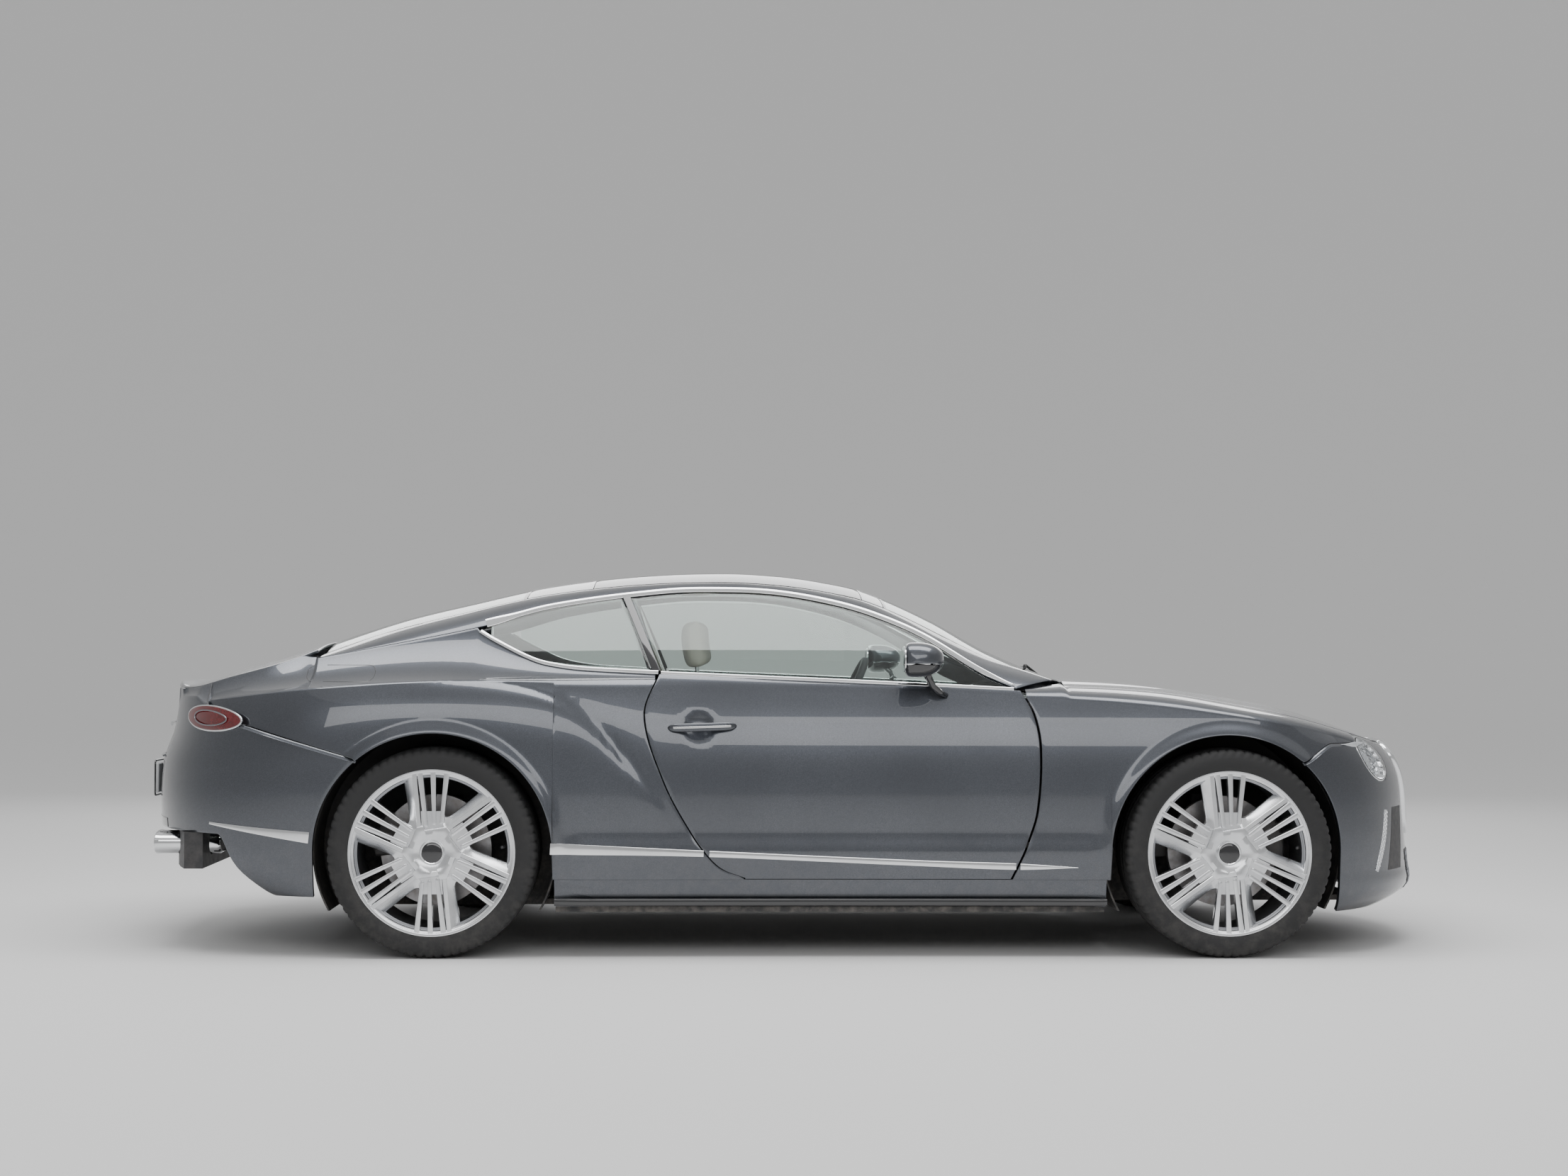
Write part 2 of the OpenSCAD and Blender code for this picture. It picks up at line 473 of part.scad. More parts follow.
module exhaust_tips() color(silver) both_sides() translate([0, exhaust_at[1], exhaust_at[2]]) difference() {
    along_x(exhaust_at[0], 260) exhaust_outline(0);
    along_x(exhaust_at[0] - 1, 180) exhaust_outline(-4);
}
// An oval lens that lies on the rear corner's skin
function lamp_grid(t) = [for (i = [0:8]) [for (j = [0:12])
    let (a = i / 4 - 1, b = 1 - j / 6, u = 0.6 + 0.13 * b * sqrt(1 - a * a / 2),
         z = 882 - 60 * u + 44 * a * sqrt(1 - b * b / 2)) tail_pt(u, z, t)]];
module tail_lamps() color("darkred") both_sides() slab(lamp_grid(-14), lamp_grid(-1.8));

// ---- structure ----
rail_y = 480;
arch_wall = 6;
liner_top_y = 868;
front_liner_r = 444;
rear_liner_r = 436;
rear_well_y = 642;
floor_t = 20;
firewall_x = 985;
rear_wall_x = -1120;
module floor_pan() color(trim_black) {
    box([rear_axle_x + rear_liner_r, -900, floor_z - floor_t],
        [front_axle_x - front_liner_r, 900, floor_z]);
    box([front_axle_x - front_liner_r, -rail_y + 0.3, floor_z - floor_t], [2140, rail_y - 0.3, floor_z]);
    box([-1700, -rear_well_y + 0.3, floor_z - floor_t], [rear_axle_x + rear_liner_r, rear_well_y - 0.3,
        floor_z]);
}
sill_x0 = rear_axle_x + rear_liner_r - 4;
sill_x1 = front_axle_x - front_liner_r + 6;
module side_sills() color(trim_black) both_sides() slab(
    outline(3, 14, function (v, u) let (x = mix(sill_x1, sill_x0, u),
        z = mix(floor_z + seat_gap, sill_z, v))
        [x, side(x, z) - 3, z]),
    outline(3, 14, function (v, u) let (x = mix(sill_x1, sill_x0, u),
        z = mix(floor_z + seat_gap, sill_z, v))
        [x, door_inner_y - 10, z]));
module liner(wx, r, y0, y1, hub) {
    difference() {
        translate([wx, y0, tyre_r]) rotate([-90, 0, 0]) cylinder(r = r, h = y1 - y0);
        translate([wx, y0 + arch_wall, tyre_r]) rotate([-90, 0, 0])
            cylinder(r = r - arch_wall, h = y1 - y0);
        box([wx - r - 1, y0 - 1, -r], [wx + r + 1, y1 + 1, floor_z - floor_t]);
        box([wx - hub, y0 - 1, floor_z + 20], [wx + hub, y0 + arch_wall + 1, 560]);
    }
}
module wheel_arch_liners() color(trim_black) both_sides() {
    difference() {
        liner(front_axle_x, front_liner_r, rail_y, liner_top_y, 75);
        box([front_axle_x + 330, 796, -10], [front_axle_x + 600, 900, 700]);
    }
    liner(rear_axle_x, rear_liner_r, rear_well_y, liner_top_y, 75);
}
post_x = 918;
post_y = 836;
module bulkheads() color(trim_black) {
    box([firewall_x, -rail_y, floor_z + seat_gap], [firewall_x + 12, rail_y, 900]);
    box([firewall_x - 42, -755, floor_z + seat_gap], [firewall_x - 30, 755, 930]);
    box([firewall_x - 30, -rail_y, floor_z + seat_gap], [firewall_x, rail_y, 300]);
    box([rear_wall_x - 12, -rear_well_y + 4, floor_z + seat_gap], [rear_wall_x, rear_well_y - 4, 960]);
    box([-1745, -rear_well_y + 4, 948], [rear_wall_x - 12, rear_well_y - 4, 960]);
    box([-1745, -rear_well_y + 4, 200], [-1733, rear_well_y - 4, 948]);
    both_sides() {
        box([post_x, 755, sill_z + seat_gap], [firewall_x - 30, post_y, 935]);
        for (h = [hinge_low, hinge_high]) hinge_bracket(h);
        hinge_lugs(bonnet_hinge);
        hinge_lugs(boot_hinge);
        for (k = [-1, 1]) {
            translate([0, k * 22 - 5, 0]) {
                box([firewall_x - 30, bonnet_hinge[1], 880],
                    [bonnet_hinge[0] + 8, bonnet_hinge[1] + 10, 898]);
                box([bonnet_hinge[0] - 8, bonnet_hinge[1], 880], bonnet_hinge + [8, 10, 0]);
                box([boot_hinge[0] - 8, boot_hinge[1], 948], [-1733, boot_hinge[1] + 10, 960]);
                box([boot_hinge[0] - 8, boot_hinge[1], 948], boot_hinge + [8, 10, 0]);
            }
        }
    }
}
module hinge_bracket(at) {
    for (k = [-1, 1]) translate(at) rotate([hinge_tilt, 0, 0]) translate([0, 0, k * 21]) {
        cylinder(r = 7.5, h = 8, center = true);
        translate([0, -7.5, -4]) cube([post_x - hinge_x + 14, 7.5, 8]);
        translate([post_x - hinge_x + 2, post_y - at[1] - 8, -4]) cube([12, at[1] - post_y + 4, 8]);
    }
    translate(at) rotate([hinge_tilt, 0, 0]) cylinder(r = hinge_pin_r, h = 50, center = true);
}

// ---- cabin ----
module dashboard() color(trim_black) difference() {
    translate([0, 745, 0]) rotate([90, 0, 0]) linear_extrude(1490) polygon([[942.7, 560], [942.7, 925],
        [780, 925], [640, 890], [560, 820], [560, 700], [700, 620], [760, 560]]);
    translate(steer_at) rotate([0, 90 + steer_tilt, 0]) cylinder(r = column_r + clear, h = 400);
}
steer_tilt = 25;
steer_at = [254, 380, 905];
steer_r = 183;
column_r = 24;
module steering_wheel() color(trim_black) translate(steer_at) rotate([0, 90 + steer_tilt, 0]) {
    rotate_extrude() translate([steer_r - 16, 0]) circle(r = 16);
    cylinder(r = 62, h = 40, center = true);
    for (a = [90, 210, 330]) rotate(a) translate([40, -16, -8]) cube([steer_r - 56, 32, 16]);
    cylinder(r = column_r, h = 395);
}
module front_seat() {
    translate([0, 255, 0]) rotate([90, 0, 0]) linear_extrude(510) {
        polygon([[-245, 330], [270, 360], [300, 420], [285, 500], [-150, 470], [-215, 620], [-300, 960],
            [-330, 1030], [-400, 1020], [-395, 900], [-330, 560], [-290, 380]]);
    }
    translate([0, 125, 0]) rotate([90, 0, 0]) linear_extrude(250)
        polygon([[-330.5, 1029.5], [-400, 1020], [-430, 1100], [-400, 1200], [-330, 1212], [-295, 1180],
            [-300, 1090]]);
    for (y = [-190, 150]) box([-220, y, floor_z + seat_gap], [250, y + 40, 345]);
}
module front_seats() color(cream) both_sides() translate([0, 385, 0]) front_seat();
module rear_seats() color(cream) both_sides() translate([rear_wall_x + seat_gap, 30, 0])
    translate([0, 520, 0]) rotate([90, 0, 0])
    linear_extrude(520) polygon([[0, floor_z + seat_gap], [0, 940], [60, 1010], [120, 1000], [190, 720],
        [260, 520],
        [520, 540], [540, 460], [500, floor_z + seat_gap]]);
module centre_console() color(trim_black) {
    box([-540, -95, floor_z + seat_gap], [480, 95, 520]);
    box([300, -95, 520], [700, 95, 600]);
    box([480, -95, floor_z + seat_gap], [900, 95, 520]);
}
module engine() color("dimgray") {
    box([1120, -320, 300], [1760, 320, 800]);
    for (x = [1200, 1640]) for (y = [-260, 220]) box([x, y, floor_z + seat_gap], [x + 60, y + 40, 300]);
}

// ---- running gear ----
arm_z = 128;
pin_r = 12;
module arm(wx, y0, y1, z, w) translate([wx, 0, z]) {
    box([-w / 2, y0, -10], [w / 2, y1, 10]);
    translate([0, y1, -10]) cylinder(r = w / 2, h = 20);
}
module front_subframe() color("dimgray") {
    box([front_axle_x + 215, -470, floor_z + seat_gap], [front_axle_x + 300, 470, 250]);
    both_sides() {
        box([front_axle_x - 40, 400, floor_z + seat_gap], [front_axle_x + 40, 478, 560]);
        for (k = [-1, 1]) arm(front_axle_x, 478, kingpin_y, tyre_r + k * arm_z, 44);
        translate([front_axle_x, kingpin_y, tyre_r - arm_z]) cylinder(r = pin_r, h = 2 * arm_z);
    }
}
knuckle_h = 96;
hub_face_y = 900;
front_disc_y = 815;
module knuckle() {
    difference() {
        union() {
            translate([front_axle_x, kingpin_y, tyre_r - knuckle_h]) cylinder(r = 30, h = 2 * knuckle_h);
            bar_y(48, front_axle_x, tyre_r, kingpin_y + 20, 785);
            bar_y(spindle_r, front_axle_x, tyre_r, 785, hub_face_y);
            box([front_axle_x - 235, kingpin_y - 5, tyre_r - 25],
                [front_axle_x, kingpin_y + 14, tyre_r + 25]);
        }
        translate([front_axle_x, kingpin_y, tyre_r - 200]) cylinder(r = pin_r + clear, h = 400);
    }
}
module knuckle_left() color("dimgray") knuckle();
module knuckle_right() color("dimgray") mirror([0, 1, 0]) knuckle();
module rear_axle() color("dimgray") {
    box([rear_axle_x - 120, -300, floor_z + seat_gap], [rear_wall_x - 20, 300, 480]);
    both_sides() {
        box([rear_axle_x - 30, 300, tyre_r - 30], [rear_axle_x + 30, 740, tyre_r + 30]);
        bar_y(60, rear_axle_x, tyre_r, 700, 785);
        bar_y(spindle_r, rear_axle_x, tyre_r, 785, hub_face_y);
    }
}

// ---- wheels ----
rim_seat_r = 284;
spoke_t = 22;
module rim(mid, w) {
    outer = mid + w / 2 - 6;
    inner = mid - w / 2 + 10;
    translate([0, inner, 0]) rotate([-90, 0, 0]) rotate_extrude($fn = 96)
        polygon([[rim_seat_r - 20, 0], [rim_r, 0],
        [rim_r, 8], [rim_seat_r, 14], [rim_seat_r, outer - inner - 14], [rim_r, outer - inner - 8],
        [rim_r, outer - inner], [rim_seat_r - 14, outer - inner], [rim_seat_r - 20, outer - inner - 40],
        [rim_seat_r - 12, outer - inner - 60], [rim_seat_r - 12, 20]]);
    translate([0, outer - 12, 0]) rotate([90, 0, 0]) linear_extrude(spoke_t) difference() {
        union() {
            circle(r = 88);
            for (a = [0:5]) rotate(a * 60 + 90) {
                translate([0, -16]) square([rim_seat_r - 12, 34]);
                for (k = [1:3]) rotate(-k * 9) translate([60, -5]) square([rim_seat_r - 72, 10]);
            }
        }
        for (a = [0:4]) rotate(a * 72) translate([bolt_circle / 2, 0]) circle(d = bolt_hole);
        circle(r = spindle_r + clear);
    }
    // Hub sleeve and brake disc
    difference() {
        union() {
            bar_y(74, 0, 0, 792, outer - 12 - spoke_t);
            bar_y(disc_r, 0, 0, front_disc_y - 15, front_disc_y + 15);
        }
        bar_y(spindle_r + clear, 0, 0, 700, 990);
    }
    bar_y(40, 0, 0, outer - 12, outer - 6);
}
module wheel(wx, mid, w) translate([wx, 0, tyre_r]) rim(mid, w);
module tyre(wx, mid, w) translate([wx, mid, tyre_r]) rotate([-90, 0, 0]) rotate_extrude($fn = 96)
    polygon([[rim_seat_r, -w / 2 + 24], [rim_r + 2, -w / 2 + 24], [rim_r + 3, -w / 2 + 8],
        [rim_r + 16, -w / 2], [tyre_r - 26, -w / 2 + 2],
        [tyre_r - 6, -w / 2 + 14], [tyre_r, -w / 2 + 34], [tyre_r, w / 2 - 34], [tyre_r - 6, w / 2 - 14],
        [tyre_r - 26, w / 2 - 2], [rim_r + 16, w / 2], [rim_r + 3, w / 2 - 8], [rim_r + 2, w / 2 - 24],
            [rim_seat_r, w / 2 - 24]]);
module wheel_front_left() color(silver) wheel(front_axle_x, front_track_half, front_tyre_w);
module wheel_front_right() color(silver) mirror([0, 1, 0]) wheel(front_axle_x, front_track_half,
    front_tyre_w);
module wheel_rear_left() color(silver) wheel(rear_axle_x, rear_track_half, rear_tyre_w);
module wheel_rear_right() color(silver) mirror([0, 1, 0]) wheel(rear_axle_x, rear_track_half, rear_tyre_w);
module tyre_front_left() color(trim_black) tyre(front_axle_x, front_track_half, front_tyre_w);
module tyre_front_right() color(trim_black) mirror([0, 1, 0])
    tyre(front_axle_x, front_track_half, front_tyre_w);
module tyre_rear_left() color(trim_black) tyre(rear_axle_x, rear_track_half, rear_tyre_w);
module tyre_rear_right() color(trim_black) mirror([0, 1, 0])
    tyre(rear_axle_x, rear_track_half, rear_tyre_w);

floor_pan();
side_sills();
front_fenders();
rear_quarters();
roof_pillars();
roof_panels();
roof_glass();
windscreen();
rear_window();
quarter_windows();
bonnet();
boot_lid();
front_bumper();
grille();
rear_bumper();
rear_diffuser();
headlamps();
tail_lamps();
exhaust_tips();
wheel_arch_liners();
bulkheads();
dashboard();
steering_wheel();
front_seats();
rear_seats();
centre_console();
engine();
front_subframe();
rear_axle();
knuckle_left();
knuckle_right();
door_left();
door_right();
door_glass_left();
door_glass_right();
mirror_left();
mirror_right();
wheel_front_left();
wheel_front_right();
wheel_rear_left();
wheel_rear_right();
tyre_front_left();
tyre_front_right();
tyre_rear_left();
tyre_rear_right();
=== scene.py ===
import math
import bpy
import numpy as np
from mathutils import Matrix, Vector


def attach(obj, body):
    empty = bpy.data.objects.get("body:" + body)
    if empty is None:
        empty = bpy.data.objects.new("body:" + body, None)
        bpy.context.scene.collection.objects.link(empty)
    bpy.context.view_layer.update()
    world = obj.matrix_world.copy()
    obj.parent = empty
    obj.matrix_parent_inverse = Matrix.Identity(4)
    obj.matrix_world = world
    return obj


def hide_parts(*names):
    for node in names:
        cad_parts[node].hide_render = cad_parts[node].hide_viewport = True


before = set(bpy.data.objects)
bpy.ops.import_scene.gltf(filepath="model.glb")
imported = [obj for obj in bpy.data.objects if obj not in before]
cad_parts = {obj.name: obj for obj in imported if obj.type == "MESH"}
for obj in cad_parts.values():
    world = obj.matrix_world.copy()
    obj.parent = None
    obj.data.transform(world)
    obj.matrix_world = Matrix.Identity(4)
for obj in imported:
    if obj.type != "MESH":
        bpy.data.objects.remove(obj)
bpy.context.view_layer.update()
print("frame loaded")

# All shapes are worked out in millimetres in the car's own frame and put into metres last
mm = 0.001

# Numbers that the whole body shares
body = {
    "frontAxle": 1550.0, "rearAxle": -1301.0, "hubHeight": 375.0, "archRadius": 424.0,
    "hipHalf": 946.0, "hipHeight": 600.0, "roofTop": 1402.0, "noseStart": 1600.0, "tailStart": -1500.0,
    "sillTop": 277.0, "panelFold": 1.6, "bootFront": -1764.0, "bootRear": -2290.0,
    "flankDip": 17.0, "sillFlare": 15.0,
}
line = {
    "hip": [(-1500, 20), (-1300, 22), (-900, 12), (-300, 0), (300, -4), (850, 0), (1300, 12), (1600, 14)],
    "nose": [(130, 2250), (180, 2373), (225, 2425), (300, 2418), (480, 2400), (620, 2386), (700, 2352),
             (765, 2290), (830, 2190)],
    "tail": [(190, -2080), (230, -2230), (315, -2395), (430, -2425), (670, -2422), (800, -2383),
             (965, -2366)],
    "bonnet": [(950, 994), (1180, 985), (1370, 969), (1555, 943), (1740, 914), (1880, 885), (2020, 846),
               (2115, 814), (2210, 778), (2290, 742)],
    "roof": [(-1867, -307), (-1512, -189), (-1236, -121), (-944, -57), (-610, -15), (-278, 0), (-54, -10),
             (115, -32), (282, -69), (527, -172), (745, -293), (1010, -413)],
    "deck": [(-2370, 966), (-2249, 976), (-2063, 1034), (-1860, 1094), (-1750, 1130)],
    "belt": [(-1170, 1172), (-1102, 1132), (-958, 1063), (-860, 1040), (-736, 1028), (-280, 1008),
             (228, 988),
             (795, 962)],
    "cant": [(-1757, 1062), (-1164, 1180), (-899, 1253), (-487, 1312), (-281, 1319), (-74, 1310),
             (135, 1273),
             (291, 1226), (465, 1150), (668, 1020), (795, 962)],
    "doorFront": [(278, 765), (330, 790), (400, 820), (520, 857), (746, 870), (870, 850), (957, 806),
                  (1010, 780)],
    "doorRear": [(284, -190), (310, -262), (350, -312), (440, -380), (620, -478), (864, -552),
                 (1019, -498)],
    "crease": [(-2200, 900), (-1750, 954), (-1300, 983), (-900, 985), (-500, 990), (0, 985)],
    "shoulder": [(800, 935), (1200, 905), (1550, 865), (1800, 828), (2000, 782), (2100, 752)],
    "bonnetHalf": [(985, 720), (1550, 690), (1900, 660), (2060, 625), (2200, 560), (2290, 480)],
    "topEdge": [(-1757, 590), (-1400, 562), (-1000, 542), (-300, 556), (300, 585), (600, 640), (945, 715)],
    "cabinHalf": [(-1760, 770), (-1164, 800), (-600, 835), (0, 848), (500, 842), (800, 822), (950, 800)],
    "bootHalf": [(-2370, 560), (-2200, 640), (-1957, 700), (-1850, 690), (-1770, 640)],
    "haunch": [(-1900, 940), (-1750, 956), (-1493, 979), (-1294, 985), (-1094, 978), (-980, 958),
               (-880, 926),
               (-799, 882), (-710, 803), (-639, 722), (-578, 654), (-533, 593)],
}


def ease(t):
    # Smooth step from 0 to 1
    t = np.clip(t, 0, 1)
    return t * t * (3 - 2 * t)


def mix(a, b, t):
    # Straight-line blend from a to b
    return a + (b - a) * t


def curve(name, at):
    # Cubic Hermite curve through a list of stations, each slope being that of its two neighbours' chord
    p = np.array(line[name] if isinstance(name, str) else name, float)
    x, v, n = p[:, 0], p[:, 1], len(p)
    low, high = np.maximum(np.arange(n) - 1, 0), np.minimum(np.arange(n) + 1, n - 1)
    slope = (v[high] - v[low]) / (x[high] - x[low])
    q = np.clip(at, x[0], x[-1])
    i = np.clip(np.searchsorted(x, q, side="right") - 1, 0, n - 2)
    h = x[i + 1] - x[i]
    s = (q - x[i]) / h
    a = 1 - s
    return (a * a * (1 + 2 * s) * v[i] + s * s * (1 + 2 * a) * v[i + 1]
            + h * s * a * (a * slope[i] - s * slope[i + 1]))


def quad(a, b, c, t):
    # Quadratic Bezier from a to c with handle b
    return (1 - t) ** 2 * a + 2 * t * (1 - t) * b + t * t * c


def cabin(x, z):
    # Half width of the glasshouse: leans in with height
    return curve("cabinHalf", x) - 0.55 * (z - 1000) - 0.0006 * (z - 1000) ** 2


def archSwell(x, z, wheelX):
    # The wheel arch stands 16 mm out at its lip and fades over 52 mm
    away = np.hypot(x - wheelX, z - body["hubHeight"])
    return 16 * ease((body["archRadius"] + 52 - away) / 52)


def noseIn(x, z):
    # Share of the full width that the nose keeps: one behind its start, then a superellipse to its tip
    t = (x - body["noseStart"]) / (curve("nose", z) - body["noseStart"])
    return np.where(x < body["noseStart"], 1, np.maximum(0, 1 - np.clip(t, 0, 1) ** 2.5) ** 0.5)


def tailIn(x, z):
    # The same for the tail, with a squarer superellipse
    t = (body["tailStart"] - x) / (body["tailStart"] - curve("tail", z))
    return np.where(x > body["tailStart"], 1, np.maximum(0, 1 - np.clip(t, 0, 1) ** 3) ** (1 / 2.2))


haunchPath = np.array([(x, float(curve("haunch", x))) for x in np.linspace(-1900, -533, 90)])


def haunchDip(x, z):
    # Ahead of and above the haunch's edge the flank drops away at once and comes back slowly
    x, z = np.broadcast_arrays(np.asarray(x, float), np.asarray(z, float))
    flat = np.stack([x.ravel(), z.ravel()], 1)
    gap = np.hypot(flat[:, None, 0] - haunchPath[None, :, 0], flat[:, None, 1] - haunchPath[None, :, 1])
    k = np.argmin(gap, 1)
    near = haunchPath[k]
    ahead = np.gradient(haunchPath, axis=0)[k]
    outside = (flat[:, 1] - near[:, 1]) * ahead[:, 0] - (flat[:, 0] - near[:, 0]) * ahead[:, 1] > 0
    d = gap[np.arange(len(k)), k]
    fade = ease((near[:, 0] + 1500) / 500) * ease((-480 - near[:, 0]) / 190)
    dip = np.where(outside, np.exp(-d / 85), np.exp(-d / 14)) * fade
    return dip.reshape(x.shape)


def flank(x, z):
    # Half width from the hip line: it falls away below and above, with the sill's flare, the belt's
    # edge and the haunch added
    hip = body["hipHalf"] + curve("hip", x)
    low = hip - 50 * (np.maximum(body["hipHeight"] - z, 0) / 420) ** 2
    high = hip - 80 * (np.maximum(z - body["hipHeight"], 0) / 380) ** 2.4
    between = ease((x + 900) / 150) * ease((1180 - x) / 150)
    rear = 38 * np.exp(-((x - body["rearAxle"]) / 480) ** 2) * ease((z - 640) / 300)
    flare = body["sillFlare"] * ease((455 - z) / 90) * between
    belt = 4.5 * np.exp(-np.abs(z - 968) / 22) * ease((x + 900) / 300) * ease((1500 - x) / 700)
    return np.where(z < body["hipHeight"], low,
                    high) + rear + flare + belt - body["flankDip"] * haunchDip(x, z)


def side(x, z):
    # Half width of the lower body at a station and a height
    swell = archSwell(x, z, body["frontAxle"]) + archSwell(x, z, body["rearAxle"])
    return flank(x, z) * noseIn(x, z) * tailIn(x, z) + swell * ease((z - 200) / 120)


def bonnetZ(x, y):
    # The bonnet's centre line, lowered towards its edges, with two soft ridges and a fine spine
    edge = np.abs(y) / 720
    ridgeY = 500 - 130 * ease((x - 1000) / 1200)
    ridge = 7 * np.exp(-((np.abs(y) - ridgeY) / 55) ** 2) * ease((2260 - x) / 500)
    spine = 5 * np.exp(-np.abs(y) / 30) * ease((x - 1100) / 300)
    return curve("bonnet", x) - (26 + 20 * ease((x - 1300) / 800)) * edge ** 2.6 + ridge * 0.6 + spine * 0.5


def crown(x):
    # How far the roof drops towards its edges
    return mix(mix(60, 62, ease((x + 1700) / 1400)), 16, ease((x - 500) / 480))


def roofZ(x, y):
    # Roof line less the crown, which grows with the distance from the middle
    return body["roofTop"] + curve("roof", x) - crown(x) * (np.abs(y) / 600) ** 2.3


def deckZ(x, y):
    # Rear deck line less a crown of its own
    return curve("deck", x) - 42 * (np.abs(y) / 700) ** 2.4


# Putting grids into meshes
def gridFaces(rows, cols, closeRows=False, closeCols=False, start=0):
    # Four-cornered faces between neighbouring points of a rows by cols grid
    i = np.arange(rows if closeRows else rows - 1)
    j = np.arange(cols if closeCols else cols - 1)
    i, j = np.meshgrid(i, j, indexing="ij")
    a, b = (i + 1) % rows, (j + 1) % cols
    return start + np.stack([i * cols + j, a * cols + j, a * cols + b, i * cols + b], -1).reshape(-1, 4)


def addPiece(name, parts, finishName, bodyName="root", crease=None):
    # parts is a list of (points, faces); they are joined into one piece that rides on one body.
    # Edges that turn by more than the crease, in degrees, stay sharp
    points, faces, count = [], [], 0
    for p, f in parts:
        p = np.asarray(p, float).reshape(-1, 3)
        points.append(p)
        faces += [[v + count for v in face] for face in (f if isinstance(f, list) else f.tolist())]
        count += len(p)
    mesh = bpy.data.meshes.new(name)
    mesh.from_pydata((np.concatenate(points) * mm).tolist(), [], faces)
    mesh.validate()
    mesh.polygons.foreach_set("use_smooth", np.full(len(mesh.polygons), True))
    if crease:
        mesh.set_sharp_from_angle(angle=math.radians(crease))
    piece = bpy.data.objects.new(name, mesh)
    bpy.context.scene.collection.objects.link(piece)
    mesh.materials.append(made[finishName])
    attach(piece, bodyName)
    return piece


def outward(grid, faces, centre=(None, 0, 600)):
    # Turns the faces round where they look towards the car's long axis
    p = grid.reshape(-1, 3)
    a, b, c = p[faces[:, 0]], p[faces[:, 1]], p[faces[:, 2]]
    normal = np.cross(b - a, c - a)
    away = a - np.stack([a[:, 0] if centre[0] is None else np.full(len(a), centre[0]),
                         np.full(len(a), centre[1]), np.full(len(a), centre[2])], 1)
    return faces if (normal * away).sum() > 0 else faces[:, ::-1]


def mirrored(part):
    # The same part on the other side, with its faces turned so that they still look out
    p, f = part
    p = np.array(p, float).reshape(-1, 3) * (1, -1, 1)
    return p, np.asarray(f)[:, ::-1] if not isinstance(f, list) else [face[::-1] for face in f]


def vertexNormals(grid):
    # Cross product of the grid's two directions at each point
    du = np.gradient(grid, axis=0)
    dv = np.gradient(grid, axis=1)
    n = np.cross(du, dv)
    size = np.linalg.norm(n, axis=2, keepdims=True)
    n = n / np.maximum(size, 1e-9)
    return n


def shell(grid, thick, fold=None, centre=(None, 0, 600)):
    # A closed panel: the outer grid, a rolled edge of three steps, and an inner grid set back by the
    # thickness
    fold = body["panelFold"] if fold is None else fold
    faces = outward(grid, gridFaces(*grid.shape[:2]), centre)
    n = vertexNormals(grid)
    p = grid.reshape(-1, 3)
    a, b, c = p[faces[:, 0]], p[faces[:, 1]], p[faces[:, 2]]
    turned = (np.cross(b - a, c - a) * n.reshape(-1, 3)[faces[:, 0]]).sum() < 0
    if turned:
        n = -n
    rows, cols = grid.shape[:2]
    inner = grid - n * thick
    outer = grid.copy()
    # pull the border in along the surface by the fold, so that the roll stays inside the panel's outline
    ring = np.concatenate([np.arange(cols), cols * np.arange(1, rows) + cols - 1,
                           (rows - 1) * cols + np.arange(cols - 2, -1, -1),
                           cols * np.arange(rows - 2, 0, -1)])
    ii, jj = ring // cols, ring % cols
    si, sj = np.clip(ii, 1, rows - 2), np.clip(jj, 1, cols - 2)
    toward = grid[si, sj] - grid[ii, jj]
    nRing = n[ii, jj]
    toward -= (toward * nRing).sum(1, keepdims=True) * nRing
    length = np.linalg.norm(toward, axis=1, keepdims=True)
    toward = toward / np.maximum(length, 1e-9)
    border = grid[ii, jj]
    f = np.minimum(fold, 0.45 * length)
    outer[ii, jj] = border + toward * f
    r1 = border + toward * f * 0.29 - nRing * f * 0.29
    r2 = border - nRing * f
    r3 = border - nRing * np.maximum(thick - fold, 0.5 * thick)
    inner[ii, jj] = border + toward * f - nRing * thick
    points = np.concatenate([outer.reshape(-1, 3), inner.reshape(-1, 3), r1, r2, r3])
    count = rows * cols
    m = len(ring)
    k = np.arange(m)
    k2 = (k + 1) % m
    loops = [ring, 2 * count + k, 2 * count + m + k, 2 * count + 2 * m + k, count + ring]
    wall = []
    for one, two in zip(loops[:-1], loops[1:]):
        wall.append(np.stack([one[k], two[k], two[k2], one[k2]], -1))
    wall = np.concatenate(wall)
    # the wall's faces run the other way along the border than the outer faces do
    atStart = faces[np.isin(faces, ring[:2]).sum(1) == 2]
    faceEdges = {(int(q[s]), int(q[(s + 1) % 4])) for q in atStart for s in range(4)}
    if (int(ring[0]), int(ring[1])) not in faceEdges:
        wall = wall[:, ::-1]
    allFaces = np.concatenate([faces, (faces + count)[:, ::-1], wall])
    return points, allFaces if signedVolume(points - points.mean(0),
                                            allFaces.tolist()) > 0 else allFaces[:, ::-1]


def signedVolume(points, faces):
    # Six times the volume, each face fanned from its first corner; negative when the faces look in
    total = 0.0
    for size in sorted({len(q) for q in faces}):
        f = np.array([q for q in faces if len(q) == size])
        for k in range(1, size - 1):
            total += (points[f[:, 0]] * np.cross(points[f[:, k]], points[f[:, k + 1]])).sum()
    return total


def tube(rings, closed=False):
    # A solid from a stack of rings, capped at both ends or joined end to end
    rings = np.asarray(rings, float)
    m, n = rings.shape[:2]
    points, faces = rings.reshape(-1, 3), gridFaces(m, n, closeRows=closed, closeCols=True).tolist()
    if not closed:
        faces += [list(range(n)), list(range(m * n - 1, (m - 1) * n - 1, -1))]
    middle = points.mean(0)
    return (points, [q[::-1] for q in faces]) if signedVolume(points - middle,
                                                              faces) < 0 else (points, faces)


